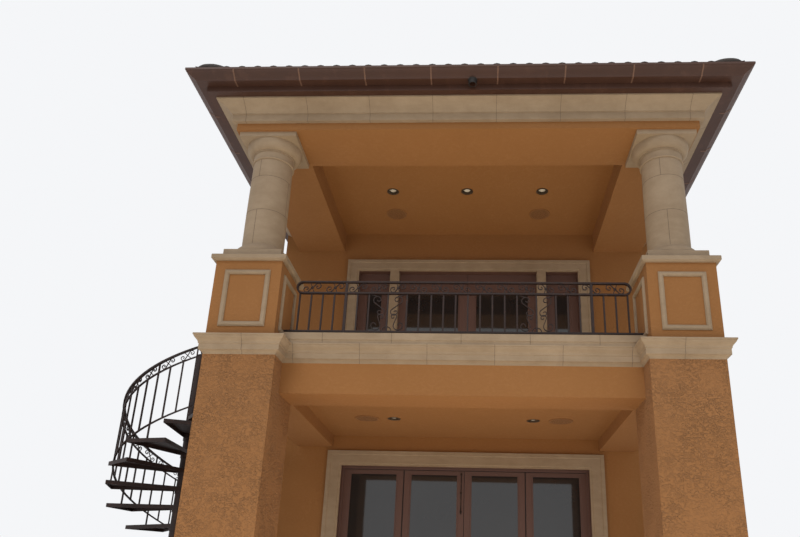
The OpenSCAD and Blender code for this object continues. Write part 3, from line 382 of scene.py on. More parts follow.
row_tree, given = tree_of("row_of_parts", Part="Object", Tilt="Float")
turn = given["Geometry"].node("GeometryNodeInputNamedAttribute", {"Name": "turn"},
                              output="Attribute", data_type="FLOAT")
way = turn.node("ShaderNodeCombineXYZ", {"X": given["Tilt"], "Z": turn})
part = turn.node("GeometryNodeObjectInfo", {"Object": given["Part"], "As Instance": True},
                 output="Geometry")
set_out = part.node("GeometryNodeInstanceOnPoints",
                    {"Points": given["Geometry"], "Instance": part, "Rotation": way})
close_tree(set_out, given)


def row(name, shape, places, material, turns=None, tilt=0.0):
    """Copies of one small shape at these places, as one plain mesh."""
    pattern = bpy.data.objects.new(name + "_part", shape)
    scene.collection.objects.link(pattern)
    mesh = grown(name, row_tree, points(name, places, turns), Part=pattern, Material=material,
                 Tilt=tilt)
    bpy.data.objects.remove(pattern)
    return mesh


def mortar_face(place):
    grain = place.noise(90, 3, 0.7)
    return {"Base_Color": grain.blend((0.14, 0.10, 0.066), (0.22, 0.16, 0.11)),
            "Normal": (grain * 0.0008).bump(1.0)}


mortar = coated("joint_mortar", mortar_face, Roughness=0.95)
joint_w, proud, bite = 0.005, 0.0012, 0.02


def s_curve(low, high, steps):
    """Points of an S from one (projection, height) to another."""
    return [(low[0] + (high[0] - low[0]) * (1 - cos(pi * i / steps)) / 2,
             low[1] + (high[1] - low[1]) * i / steps) for i in range(steps + 1)]


def hollow(low, high, steps):
    """Points of a quarter hollow from one (projection, height) to another."""
    return [(low[0] + (high[0] - low[0]) * (1 - cos(pi / 2 * i / steps)),
             low[1] + (high[1] - low[1]) * sin(pi / 2 * i / steps)) for i in range(steps + 1)]


cornice = [*hollow((0, 0), (0.042, 0.042), 5), (0.042, 0.105), (0.05, 0.111),
           *s_curve((0.05, 0.118), (0.092, 0.189), 8), (0.1, 0.193), (0.1, 0.21)]
top_run = [(0.0528, 0), (0.0528, 0.0945), (0.0638, 0.0945),
           *[(0.0638 + 0.1452 * (t / 8 - 0.12 * sin(pi * t / 8)), 0.101 + 0.1013 * t / 8)
             for t in range(9)], (0.22, 0.207), (0.22, 0.225)]
lower_box, upper_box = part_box("front_cornice"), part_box("upper_cornice")


def joint_slab(profile):
    """A slab across a moulding that stands out towards -Y, its foot on z = 0."""
    face = [(-out - proud, up) for out, up in profile]
    face[0] = (face[0][0], -proud if profile[0][0] else 0.0)
    return prism("joint", [(bite, face[0][1]), *face, (bite, face[-1][1])],
                 -joint_w / 2, joint_w / 2)


cornice_foot, coping_foot, top_foot = 3.03, 3.24, 6.025
cornice_out, top_out = cornice[-1][0], top_run[-1][0]
front_y = lower_box[0].y + cornice_out
top_y = upper_box[0].y + top_out
side_x = upper_box[1].x - top_out
front_joints = [(x, front_y, cornice_foot) for x in (-1.87, -1.12, -0.37, 0.376, 1.121, 1.87)]
pier_joints = [(x, -3.2, cornice_foot) for x in (-2.357, 2.357)]
pitch = 0.765
top_joints = [(0.3825 + pitch * i, top_y, top_foot) for i in range(-4, 4)]
side_joints = [(side * side_x, -2.82 + pitch * i, top_foot)
               for side in (-1, 1) for i in range(4)]
side_turns = [pi / 2 * side for side in (-1, 1) for i in range(4)]
low_sides = [(side * 2.48, y, cornice_foot) for side in (-1, 1) for y in (-1.9, -0.5)]
low_turns = [pi / 2 * side for side in (-1, 1) for y in (-1.9, -0.5)]
piece("cornice_joints", joined("cornice_joints", [
    row("front_joints", joint_slab(cornice), front_joints + pier_joints, mortar),
    row("side_joints", joint_slab(cornice), low_sides, mortar, low_turns),
    row("top_joints", joint_slab(top_run), top_joints, mortar),
    row("eave_joints", joint_slab(top_run), side_joints, mortar, side_turns),
]))

coping_face = [(0, 0.0), (-0.266 - proud, 0.0), (-0.266 - proud, 0.022),
               (-0.28 - proud, 0.0425), (-0.28 - proud, 0.118), (-0.274, 0.1262),
               (0, 0.1262)]
coping_joint = prism("coping_joint", coping_face, -joint_w / 2, joint_w / 2)
coping_x = (-1.541, -0.767, 0.005, 0.764, 1.521)
piece("coping_joints", joined("coping_joints", [
    row("front_coping_joints", coping_joint,
        [(x, -2.73, coping_foot) for x in coping_x], mortar),
    row("side_coping_joints", coping_joint,
        [(side * 2.3, y, coping_foot) for side in (-1, 1) for y in (-1.75, -0.32)], mortar,
        [pi / 2 * side for side in (-1, 1) for y in (-1.75, -0.32)]),
]))

# Joints of the columns: each shaft is three drums of two half shells, so it has level joints
# and upright ones that change sides from drum to drum.
shaft_low, shaft_high, shaft_r = 4.455, 5.62, (0.245, 0.238)


def shaft_radius(z):
    part_up = (z - shaft_low) / (shaft_high - shaft_low)
    return shaft_r[0] + (shaft_r[1] - shaft_r[0]) * part_up + 0.003 * sin(pi * part_up)


def turned(name, outline, steps=48):
    """A closed solid of revolution about Z from a closed loop of (radius, height) points."""
    bm = bmesh.new()
    rings = [[bm.verts.new((r * cos(2 * pi * i / steps), r * sin(2 * pi * i / steps), z))
              for r, z in outline] for i in range(steps)]
    for i, ring in enumerate(rings):
        other = rings[(i + 1) % steps]
        for j in range(len(outline)):
            k = (j + 1) % len(outline)
            bm.faces.new((ring[j], other[j], other[k], ring[k]))
    bmesh.ops.remove_doubles(bm, verts=bm.verts, dist=1e-6)
    bmesh.ops.recalc_face_normals(bm, faces=bm.faces)
    mesh = bpy.data.meshes.new(name)
    bm.to_mesh(mesh)
    bm.free()
    return mesh


drum_joints = (4.91, 5.38)
shells = []
column_places = [(-2.41, -2.82, 0), (2.41, -2.82, 0)]
for z in drum_joints:
    r = shaft_radius(z)
    ring = turned("drum_joint", [(r - 0.01, z - joint_w / 2), (r + proud, z - joint_w / 2),
                                 (r + proud, z + joint_w / 2), (r - 0.01, z + joint_w / 2)])
    shells.append(row("drum_joint", ring, column_places, mortar))
for drum, (low, high) in enumerate(zip((shaft_low, *drum_joints), (*drum_joints, shaft_high))):
    face = [(-shaft_radius(low) - proud, low), (-shaft_radius((low + high) / 2) - proud,
            (low + high) / 2), (-shaft_radius(high) - proud, high),
            (-shaft_radius(high) + 0.01, high), (-shaft_radius(low) + 0.01, low)]
    strip = prism("shell_joint", face, -joint_w / 2, joint_w / 2)
    for half in (0, pi):
        strip_turn = radians((-12, 78, -20)[drum]) + half
        shells.append(row("shell_joint", strip, column_places, mortar, [strip_turn] * 2))
piece("column_joints", joined("column_joints", shells))


# Balcony floor: square stone tiles, 330 mm wide, bedded on the concrete slab in a straight grid
# with narrow grey joints.
floor_tile_w = 0.33


def floor_tiles(place):
    spread = place.node("ShaderNodeVectorMath",
                        {"Vector": place, "Vector_001": (1 / floor_tile_w,) * 3},
                        operation="MULTIPLY")
    grid = spread.node("ShaderNodeTexBrick", {
        "Vector": spread, "Color1": (0.36, 0.27, 0.18, 1), "Color2": (0.29, 0.21, 0.14, 1),
        "Mortar": (0.14, 0.12, 0.10, 1), "Scale": 1.0, "Mortar Size": 0.014, "Bias": 0.0,
        "Brick Width": 1.0, "Row Height": 1.0}, output="Color", offset=0.0)
    joint = spread.node("ShaderNodeTexBrick", {
        "Vector": spread, "Color1": (1, 1, 1, 1), "Color2": (1, 1, 1, 1),
        "Mortar": (0, 0, 0, 1), "Scale": 1.0, "Mortar Size": 0.014, "Brick Width": 1.0,
        "Row Height": 1.0}, output="Color", offset=0.0)
    cloud = place.noise(9, 5, 0.6)
    return {"Base_Color": (cloud * 0.35).blend(grid, (0.22, 0.16, 0.11)),
            "Roughness": 0.62 + cloud * 0.2,
            "Normal": (joint * 0.002 + cloud * 0.0006).bump(0.8)}


def raw_concrete(place):
    grain = place.noise(11, 6, 0.65)
    return {"Base_Color": grain.blend((0.22, 0.20, 0.18), (0.36, 0.34, 0.31)),
            "Normal": (grain * 0.003).bump(0.8)}


dress(coated("floor_tiles", floor_tiles), "balcony_floor")
dress(coated("raw_concrete", raw_concrete, Roughness=0.9), "balcony_slab")


# Roof: two-piece barrel tiles of dark clay on a boarded deck. Pans lie in rows with covers over
# their edges, course over course, and rounded caps close the ridge and the hips.
def sawn_boards(place):
    grain = place.noise(6, 5, 0.6, stretch=(0.3, 6, 6))
    return {"Base_Color": grain.blend((0.20, 0.12, 0.06), (0.36, 0.24, 0.13)),
            "Normal": (grain * 0.001).bump(0.6)}


def fired_clay(place):
    tone = place.node("ShaderNodeAttribute", attribute_name="tone", output="Fac")
    cloud = place.noise(7, 5, 0.65)
    grit = place.noise(110, 3, 0.7)
    mixed = (tone * 0.6 + cloud * 0.3 + grit * 0.1).ramp(0.1, 0.9)
    colour = mixed.blend((0.022, 0.019, 0.019), (0.085, 0.064, 0.053))
    return {"Base_Color": colour, "Roughness": 0.72 + cloud * 0.2,
            "Normal": (cloud * 0.002 + grit * 0.0006).bump(0.9)}


dress(coated("sawn_boards", sawn_boards, Roughness=0.85), "roof_deck")
clay = coated("fired_clay", fired_clay)
tile_low, tile_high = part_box("roof_tiles")
slope = 0.35
lean = atan2(slope, 1)
edge_z = tile_low.z
half, front, back = tile_high.x, tile_low.y, tile_high.y
row_w, course, tile_length, tile_t = half / 17, 0.33, 0.405, 0.013


def barrel(name, lower, upper, length, lift, base=0.0, arc=pi, up=1, steps=8):
    """A tapered half barrel along +Y, its lower end at y = 0 and raised by lift."""
    bm = bmesh.new()
    rings = []
    for y, radius, rise in ((0, lower, lift), (length, upper, 0)):
        ring = []
        for r in (radius, radius - tile_t):
            for i in range(steps + 1):
                a = (pi - arc) / 2 + arc * i / steps
                depth = r * sin(a) - (0 if up == 1 else lower)
                ring.append(bm.verts.new((r * cos(a), y, base + rise + up * depth)))
        rings.append(ring)
    count = steps + 1
    loop = [*range(count), *range(2 * count - 1, count - 1, -1)]
    for k, i in enumerate(loop):
        j = loop[(k + 1) % len(loop)]
        bm.faces.new((rings[0][i], rings[0][j], rings[1][j], rings[1][i]))
    for ring in rings:
        for i in range(steps):
            bm.faces.new((ring[i], ring[i + 1], ring[count + i + 1], ring[count + i]))
    bmesh.ops.recalc_face_normals(bm, faces=bm.faces)
    mesh = bpy.data.meshes.new(name)
    bm.to_mesh(mesh)
    bm.free()
    return mesh


# The field of one slope lies flat: rows along X, courses along Y. A tile is laid where its
# lower end is inside the slope's plan, which narrows to a hip at one or both sides.
field_tree, given = tree_of("tile_field", Part="Object", Width="Float", Rows="Int",
                            Courses="Int", Course="Float", Hips="Float", Fall="Float",
                            Seed="Int")
grid = given["Part"].node("GeometryNodeMeshGrid", {
    "Size X": given["Width"], "Size Y": (given["Courses"] - 1) * given["Course"],
    "Vertices X": given["Rows"], "Vertices Y": given["Courses"]}, output="Mesh")
laid = grid.node("GeometryNodeTransform", {
    "Geometry": grid, "Translation": grid.node("ShaderNodeCombineXYZ", {
        "X": given["Width"] * 0.5, "Y": (given["Courses"] - 1) * given["Course"] * 0.5})})
place_x = laid.node("ShaderNodeSeparateXYZ", {"Vector": laid.node("GeometryNodeInputPosition")})
place_y = Term(field_tree, place_x.socket.node.outputs["Y"])
plan = place_y * given["Fall"]
near_hip = plan - place_x
far_hip = (plan - (given["Width"] - place_x)) * given["Hips"]
outside = near_hip.math("GREATER_THAN", near_hip.math("MAXIMUM", near_hip, far_hip), 0.06)
kept = laid.node("GeometryNodeDeleteGeometry", {"Geometry": laid, "Selection": outside})
part = kept.node("GeometryNodeObjectInfo", {"Object": given["Part"], "As Instance": True},
                 output="Geometry")
laid_tiles = kept.node("GeometryNodeInstanceOnPoints", {"Points": kept, "Instance": part})
chance = laid_tiles.node("FunctionNodeRandomValue", {"Seed": given["Seed"]}, output=1,
                         data_type="FLOAT")
toned = laid_tiles.node("GeometryNodeStoreNamedAttribute", {
    "Geometry": laid_tiles, "Name": "tone", "Value": chance},
    data_type="FLOAT", domain="INSTANCE")
close_tree(toned, given)


def field(name, shape, width, rows, courses, hips, seed):
    pattern = bpy.data.objects.new(name + "_part", shape)
    scene.collection.objects.link(pattern)
    mesh = grown(name, field_tree, bpy.data.meshes.new(name), Part=pattern, Width=width,
                 Rows=rows, Courses=courses, Course=course, Hips=hips, Fall=cos(lean),
                 Seed=seed, Material=clay)
    bpy.data.objects.remove(pattern)
    return mesh


def trimmed(mesh, planes):
    """The mesh cut by planes (point, outward normal), its cut faces closed."""
    bm = bmesh.new()
    bm.from_mesh(mesh)
    for place, out in planes:
        geometry = bm.verts[:] + bm.edges[:] + bm.faces[:]
        bmesh.ops.bisect_plane(bm, geom=geometry, plane_co=place, plane_no=out,
                               clear_outer=True, dist=1e-5)
        rim = [edge for edge in bm.edges if edge.is_boundary]
        bmesh.ops.holes_fill(bm, edges=rim, sides=0)
    bmesh.ops.triangulate(bm, faces=[face for face in bm.faces if len(face.verts) > 4])
    bm.to_mesh(mesh)
    bm.free()
    return mesh


cover = barrel("cover", 0.087, 0.072, tile_length, 0.016, base=0.006)
pan = barrel("pan", 0.082, 0.082, tile_length, 0.014, base=0.03, arc=2.4, up=-1)
courses = int((half + 0.35) / cos(lean) / course) + 1
depth = back - front
side_rows = int(depth / row_w)
corner = Vector((half, front, 0))
hip_out, hip_in = Vector((1, 1, 0)).normalized(), Vector((-1, -1, 0)).normalized()
up_slope = Vector((0, cos(lean), sin(lean)))
to_front = Matrix(((1, 0, 0, -half), (0, up_slope.y, -sin(lean), front),
                   (0, up_slope.z, cos(lean), edge_z), (0, 0, 0, 1)))
to_right = Matrix(((0, -cos(lean), sin(lean), half), (1, 0, 0, front),
                   (0, sin(lean), cos(lean), edge_z), (0, 0, 0, 1)))
slopes = []
for shape, offset, seed in ((cover, 0.0, 3), (pan, row_w / 2, 5)):
    rows = int(2 * half / row_w) + (0 if offset else 1)
    width = (rows - 1) * row_w
    across = field("front_tiles", shape, width, rows, courses, 1.0, seed)
    across.transform(to_front @ Matrix.Translation((offset, 0, 0)))
    slopes.append(trimmed(across, [(corner, hip_out),
                                   (Vector((-half, front, 0)), Vector((-1, 1, 0)).normalized()),
                                   (Vector((half, 0, 0)), Vector((1, 0, 0))),
                                   (Vector((-half, 0, 0)), Vector((-1, 0, 0)))]))
    beside = field("side_tiles", shape, (side_rows - 1) * row_w, side_rows, courses, 0.0, seed + 1)
    beside.transform(to_right @ Matrix.Translation((row_w / 2 + offset, 0, 0)))
    trimmed(beside, [(corner, hip_in), (Vector((0, 0, 0)), Vector((-1, 0, 0))),
                     (Vector((0, back, 0)), Vector((0, 1, 0)))])
    slopes.append(beside)
    mirrored_side = beside.copy()
    mirrored_side.transform(Matrix.Scale(-1, 4, (1, 0, 0)))
    mirrored_side.flip_normals()
    slopes.append(mirrored_side)
tiles = piece("barrel_tiles", joined("barrel_tiles", slopes), material=clay)
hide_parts("roof_tiles")

# Caps start over the gutter's corners and lap each other up to the peak, and others run from the
# wall along the short ridge to the same peak.
cap_length, cap_inset, cap_lift = 0.42, 0.07, 0.07
cap = barrel("cap", 0.098, 0.084, cap_length, 0.018, arc=2.9)
peak = Vector((0, front + half, edge_z + cap_lift + half * slope))
cap_line = []
for side in (-1, 1):
    foot = Vector((side * (half - cap_inset), front + cap_inset, edge_z + cap_lift))
    run = peak - foot
    cap_line.append((foot, run, int(run.length / course)))
cap_line.append((Vector((0, back - 0.005, peak.z)), Vector((0, peak.y - back, 0)), 2))
caps = []
for foot, run, count in cap_line:
    ahead_cap = run.normalized()
    across_cap = ahead_cap.cross(Vector((0, 0, 1))).normalized()
    up_cap = across_cap.cross(ahead_cap)
    for i in range(count + 1):
        place = foot + ahead_cap * min(i * course, max(run.length - cap_length, 0))
        laid_cap = cap.copy()
        laid_cap.transform(Matrix((
            (across_cap.x, ahead_cap.x, up_cap.x, place.x),
            (across_cap.y, ahead_cap.y, up_cap.y, place.y),
            (across_cap.z, ahead_cap.z, up_cap.z, place.z), (0, 0, 0, 1))))
        tone = laid_cap.attributes.new("tone", "FLOAT", "POINT")
        tone.data.foreach_set("value", [(i * 0.37 + foot.x * 0.11) % 1.0] * len(laid_cap.vertices))
        caps.append(laid_cap)
piece("ridge_and_hip_caps", joined("ridge_and_hip_caps", caps), material=clay)


# Hip starters: over the gutter's corners each hip begins with a closed, rounded end tile on a
# bed of pale mortar.
def bedding(place):
    grain = place.noise(26, 5, 0.65)
    return {"Base_Color": grain.blend((0.13, 0.115, 0.10), (0.30, 0.275, 0.25)),
            "Roughness": 0.9 + grain * 0.08, "Normal": (grain * 0.006).bump(0.9)}


end_tile = turned("end_tile", [(0, 0), (0.262, 0), (0.27, 0.012), (0.262, 0.03), (0.225, 0.062),
                               (0.16, 0.092), (0.08, 0.108), (0, 0.112)], 32)
mortar_bed = turned("mortar_bed", [(0, -0.1), (0.235, -0.1), (0.235, 0.02), (0, 0.02)], 28)
hip_lean = atan2(slope, hypot(1, 1))
starter_inset, starter_lift = 0.19, 0.155
starters, beds = [], []
for side in (-1, 1):
    place = Matrix.Translation((side * (half - starter_inset), front + starter_inset,
                                edge_z + starter_lift))
    turned_to = Matrix.Rotation(pi / 2 + side * pi / 4, 4, "Z")
    tilted = Matrix.Rotation(-hip_lean, 4, "Y")
    narrow = Matrix.Diagonal((1, 0.56, 1, 1))
    for shape, made in ((end_tile, starters), (mortar_bed, beds)):
        laid_end = shape.copy()
        laid_end.transform(place @ turned_to @ tilted @ narrow)
        made.append(laid_end)
bed_face = coated("bedding_mortar", bedding)
for mesh in starters:
    tone = mesh.attributes.new("tone", "FLOAT", "POINT")
    tone.data.foreach_set("value", [0.55] * len(mesh.vertices))
piece("hip_starters", joined("hip_starters", starters), material=clay, smooth=50)
piece("hip_beds", joined("hip_beds", beds), material=bed_face, smooth=50)


# Eave: a boxed eave with a moulded gutter on its fascia, all in dark bronze paint. The gutter's
# lengths meet in narrow seams rubbed to a paler brown, and a round lead outlet opens under its
# front run; its collar is painted near black, painted shade for the outlet's dark mouth.
def weathered_paint(place):
    cloud = place.noise(2.5, 5, 0.6)
    streaks = place.noise(7, 4, 0.65, stretch=(1, 1, 0.2)).ramp(0.5, 0.75)
    colour = (cloud * 0.6 + streaks * 0.4).blend((0.055, 0.022, 0.013), (0.112, 0.050, 0.031))
    return {"Base_Color": colour, "Roughness": 0.42 + cloud * 0.2,
            "Normal": (cloud * 0.0015).bump(0.5)}


def rubbed_seam(place):
    rub = place.noise(22, 4, 0.6)
    return {"Base_Color": rub.blend((0.13, 0.062, 0.038), (0.27, 0.15, 0.10)),
            "Roughness": 0.5 + rub * 0.2}


def outlet_painted_shade(place):
    # The collar is near black with a faint mottle, painted shade for the dark mouth of the outlet.
    shade_mottle = place.noise(30, 4, 0.6)
    return {"Base_Color": shade_mottle.blend((0.010, 0.009, 0.009), (0.026, 0.023, 0.022))}


bronze_paint = coated("bronze_paint", weathered_paint, Metallic=0.15)
seam_paint = coated("rubbed_seam", rubbed_seam, Metallic=0.15)
dress(bronze_paint, "eave_box", "gutter")
gutter_out, gutter_tall, skin = 0.208, 0.11, 0.0025
belly = s_curve((0.5 * gutter_out, 0), (0.94 * gutter_out, 0.7 * gutter_tall), 6)
lip_out = gutter_out - 0.0004
outer = [(0, -skin), (0.5 * gutter_out, -skin), *[(out + skin, up - skin) for out, up in belly],
         (lip_out, 0.76 * gutter_tall), (lip_out, gutter_tall - 0.001)]
inner = [(gutter_out - skin, gutter_tall - 0.001), (gutter_out - skin, 0.77 * gutter_tall),
         *[(out - skin, up + skin) for out, up in reversed(belly)], (0, skin)]
seam_half = 0.008
seam = prism("seam", [(-out, up) for out, up in outer + inner], -seam_half, seam_half)
gutter_low, gutter_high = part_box("gutter")
gutter_foot, fascia_y = 6.327, gutter_low.y + gutter_out
fascia_x = gutter_high.x - gutter_out
seam_pitch = 0.78
front_seams = [(0.39 + seam_pitch * i, fascia_y, gutter_foot) for i in range(-4, 4)]
side_seams = [(side * fascia_x, -2.95 + seam_pitch * i, gutter_foot)
              for side in (-1, 1) for i in range(5)]
piece("gutter_sleeves", joined("gutter_sleeves", [
    row("front_seams", seam, front_seams, seam_paint),
    row("side_seams", seam, side_seams, seam_paint,
        [pi / 2 * side for side in (-1, 1) for i in range(5)]),
]))
outlet = turned("outlet_collar", [(0.039, -0.062), (0.048, -0.062), (0.048, -0.045),
                                  (0.0435, -0.04), (0.0435, -0.012), (0.056, 0.0),
                                  (0.056, 0.002), (0.039, 0.002)], 32)
outlet.transform(Matrix.Translation((0.096, fascia_y - 0.35 * gutter_out, gutter_foot)))
piece("outlet_collar", outlet,
      material=coated("outlet_painted_shade", outlet_painted_shade, Roughness=0.7), smooth=40)


# Doors: timber leaves and frames in a satin brown-purple paint, with clear glass that mirrors the
# daylight and whose near-black colour is painted shade for the dim rooms behind it. A weather bar
# runs across the foot of each lower leaf.
def brushed_paint(place):
    grain = place.noise(5, 4, 0.6, stretch=(9, 9, 0.5))
    cloud = place.noise(1.7, 4, 0.6)
    colour = (grain * 0.5 + cloud * 0.5).blend((0.100, 0.048, 0.037), (0.150, 0.077, 0.060))
    return {"Base_Color": colour, "Roughness": 0.44 + grain * 0.16,
            "Normal": (grain * 0.0006).bump(0.6)}


def pane_with_painted_shade(place):
    haze = place.noise(0.8, 4, 0.6)
    # The near-black colour is painted shade for the dim rooms behind the glass.
    return {"Base_Color": haze.blend((0.012, 0.012, 0.014), (0.034, 0.034, 0.036)),
            "Roughness": 0.025 + haze * 0.03,
            "Normal": (place.noise(1.3, 2, 0.5) * 0.002).bump(0.6)}


joinery = coated("brushed_paint", brushed_paint)
pane = coated("pane_with_painted_shade", pane_with_painted_shade, Coat_Weight=0.5)
dress(joinery, "door_frame", "fixed_leaves", "left_leaf", "right_leaf", "upper_doors")
dress(pane, "fixed_glass", "left_glass", "right_glass", "upper_glass")
bar_face = [(0.110, 0.0), (0.078, 0.002), (0.074, 0.010), (0.080, 0.022), (0.110, 0.038)]
for body, node_name, spans in (("left_door", "left_leaf", [(-0.872, -0.018)]),
                               ("right_door", "right_leaf", [(0.018, 0.872)]),
                               ("root", "fixed_leaves", [(-1.768, -0.914), (0.914, 1.768)])):
    bars = [prism("weather_bar", [(y, up + 0.085) for y, up in bar_face], low, high)
            for low, high in spans]
    piece(node_name + "_weather_bar", joined("weather_bar", bars), body, joinery)


# Reveal boards, painted shade: boards in the joinery's dark paint, 4 mm thick, cover the head and
# the jambs of both doorways from the stone surround in to the door frame and darken the reveals,
# which lie in shade.
# A doorway is given by its bays, foot, head and depth.
# These boards are painted shade: they darken reveals that are only shaded.
shade_boards = []
board = 0.004
for bays, foot, head, deep in (
        (((-1.8095, 1.8095),), 0.041, 2.4045, 0.0895),
        (((-1.7645, -1.2555), (-1.1095, 1.1095), (1.2555, 1.7645)), 3.0855, 5.5745, 0.1095)):
    for x0, x1 in bays:
        shade_boards.append(prism("head_board", [(0.002, head), (0.002, head - 0.7 * board),
                                            (0.004, head - board), (deep, head - board),
                                            (deep, head)], x0, x1))
    for x, inwards in ((bays[0][0], board), (bays[-1][1], -board)):
        shade_boards.append(prism("jamb_board", [(x, 0.002), (x + 0.7 * inwards, 0.002),
                                            (x + inwards, 0.004), (x + inwards, deep),
                                            (x, deep)], foot, head - 1.1 * board, "xyz"))
piece("reveal_linings", joined("reveal_linings", shade_boards), material=joinery)


# Seals: black rubber strips close the gap where two leaves meet and the gaps between the leaves
# and their frame. Each has a bevelled nose and is pressed into the edge that carries it.
def black_rubber(place):
    grain = place.noise(50, 3, 0.6)
    return {"Base_Color": grain.blend((0.012, 0.011, 0.011), (0.028, 0.025, 0.024))}


rubber = coated("black_rubber", black_rubber, Roughness=0.7)


def strips(name, body, boxes):
    """Thin seals with a bevelled face, each given by its low and high corner."""
    made = []
    for (x0, y0, z0), (x1, y1, z1) in boxes:
        nose = 0.25 * min(x1 - x0, z1 - z0)
        if z1 - z0 > x1 - x0:
            outline = [(x0, y1), (x0, y0 + nose), (x0 + nose, y0), (x1 - nose, y0),
                       (x1, y0 + nose), (x1, y1)]
            made.append(prism(name, outline, z0, z1, "xyz"))
        else:
            outline = [(y1, z0), (y0 + nose, z0), (y0, z0 + nose), (y0, z1 - nose),
                       (y0 + nose, z1), (y1, z1)]
            made.append(prism(name, outline, x0, x1))
    piece(name, joined(name, made), body, rubber)


strips("frame_seals", "root", [
    *[((x - 0.0065, 0.114, 0.05), (x + 0.0065, 0.150, 2.366)) for x in (-0.892, 0.892)],
    ((-1.779, 0.116, 2.3685), (1.779, 0.148, 2.3745)),
    ((-1.779, 0.116, 0.0405), (1.779, 0.148, 0.0465)),
])
strips("meeting_seal", "left_door", [((-0.0039, 0.112, 0.05), (0.0037, 0.128, 2.366))])
strips("upper_meeting_seal", "root", [((-0.0038, 0.112, 3.087), (0.0038, 0.150, 5.573))])


# Door hardware: oil-rubbed bronze lever, bolt and hinges, browned where hands don't rub it, and
# a round lock cylinder let into the stile of the left leaf.
def rubbed_bronze(place):
    wear = place.noise(38, 4, 0.6)
    return {"Base_Color": wear.ramp(0.45, 0.7).blend((0.032, 0.021, 0.016), (0.115, 0.072, 0.045)),
            "Roughness": 0.32 + wear * 0.2, "Normal": (wear * 0.0004).bump(0.6)}


hardware = coated("rubbed_bronze", rubbed_bronze, Metallic=0.85)
dress(hardware, "door_hinges", "door_handle", "top_bolt")
cylinder_lock = turned("lock_cylinder", [(0.0, -0.006), (0.012, -0.006), (0.014, -0.003),
                                         (0.014, 0.0), (0.0, 0.0)], 24)
cylinder_lock.transform(Matrix.Translation((-0.048, 0.102, 0.978)) @ Matrix.Rotation(pi / 2, 4, "X")
                        @ Matrix.Scale(-1, 4, (0, 0, 1)))
cylinder_lock.flip_normals()
piece("lock_cylinder", cylinder_lock, "left_door", hardware, 40)


# Ironwork: wrought bars, flat rails and scrolls under a dark brown semi-gloss paint, a little
# worn to brown. Posts stand on screwed foot plates, and a rosette sits in the middle of each bay
# of the scroll bands.
def iron_paint(place):
    wear = place.noise(24, 5, 0.65)
    hammer = place.noise(70, 3, 0.5)
    colour = wear.ramp(0.5, 0.78).blend((0.020, 0.009, 0.007), (0.070, 0.032, 0.022))
    return {"Base_Color": colour, "Roughness": 0.50 + wear * 0.22,
            "Normal": (hammer * 0.0008 + wear * 0.0006).bump(0.8)}


iron = coated("iron_paint", iron_paint, Metallic=0.25)
dress(iron, "front_railing", "right_railing", "left_railings", "railing_scrolls", "stair_pole",
      "stair_treads", "stair_landing", "stair_railing", "stair_scrolls", "landing_guard")
rail_y, rail_x, coping_top = -2.87, 2.44, 3.365


def plate(name, half_w, hole, tall, bevel=0.002):
    """A square foot plate round a square post, with a bevelled top edge, on z = 0."""
    bm = bmesh.new()
    loops = [(half_w, 0), (half_w, tall - bevel), (half_w - bevel, tall), (hole, tall), (hole, 0)]
    rings = [[bm.verts.new((x * r, y * r, z)) for x, y in ((1, 1), (-1, 1), (-1, -1), (1, -1))]
             for r, z in loops]
    for i, ring in enumerate(rings):
        other = rings[(i + 1) % len(rings)]
        for j in range(4):
            bm.faces.new((ring[j], ring[(j + 1) % 4], other[(j + 1) % 4], other[j]))
    bmesh.ops.recalc_face_normals(bm, faces=bm.faces)
    mesh = bpy.data.meshes.new(name)
    bm.to_mesh(mesh)
    bm.free()
    return mesh


def hex_bolt(name, r, tall):
    """A hexagon head with a rounded crown, on z = 0."""
    return turned(name, [(0, 0), (r, 0), (r, 0.7 * tall), (0.8 * r, tall), (0, tall)], 6)


foot_places = [(-1.34, rail_y), (1.475, rail_y), (rail_x, -1.22), (-rail_x, -1.415),
               (-rail_x, -0.585)]
plates = [(x, y, coping_top) for x, y in foot_places]
screws = [(x + dx, y + dy, coping_top + 0.007) for x, y in foot_places
          for dx in (-0.03, 0.03) for dy in (-0.03, 0.03)]
piece("post_feet", joined("post_feet", [
    row("foot_plates", plate("foot_plate", 0.042, 0.0145, 0.008), plates, iron),
    row("foot_screws", hex_bolt("foot_screw", 0.0075, 0.007), screws, iron),
]))

rosette = turned("rosette", [(0, -0.012), (0.008, -0.011), (0.015, -0.0075), (0.017, -0.003),
                             (0.017, 0.003), (0.015, 0.0075), (0.008, 0.011), (0, 0.012)], 14)
band_z = coping_top + 0.607
front_bays = [(-1.88, -1.07, 3), (-1.07, -0.63, 2), (-0.63, 0.63, 5), (0.63, 1.07, 2),
              (1.07, 1.88, 3)]
side_bays = [(rail_x, -2.44, 0.0, 9), (-rail_x, -2.44, -1.43, 4), (-rail_x, -0.57, 0.0, 2)]
front_centres = [(low + (high - low) * (i + 0.5) / cells, rail_y, band_z)
                 for low, high, cells in front_bays for i in range(cells)]
side_centres = [(x, low + (high - low) * (i + 0.5) / cells, band_z)
                for x, low, high, cells in side_bays for i in range(cells)]
piece("band_rosettes", joined("band_rosettes", [
    row("front_rosettes", rosette, front_centres, iron, tilt=pi / 2),
    row("side_rosettes", rosette, side_centres, iron, [pi / 2] * len(side_centres), pi / 2),
]))


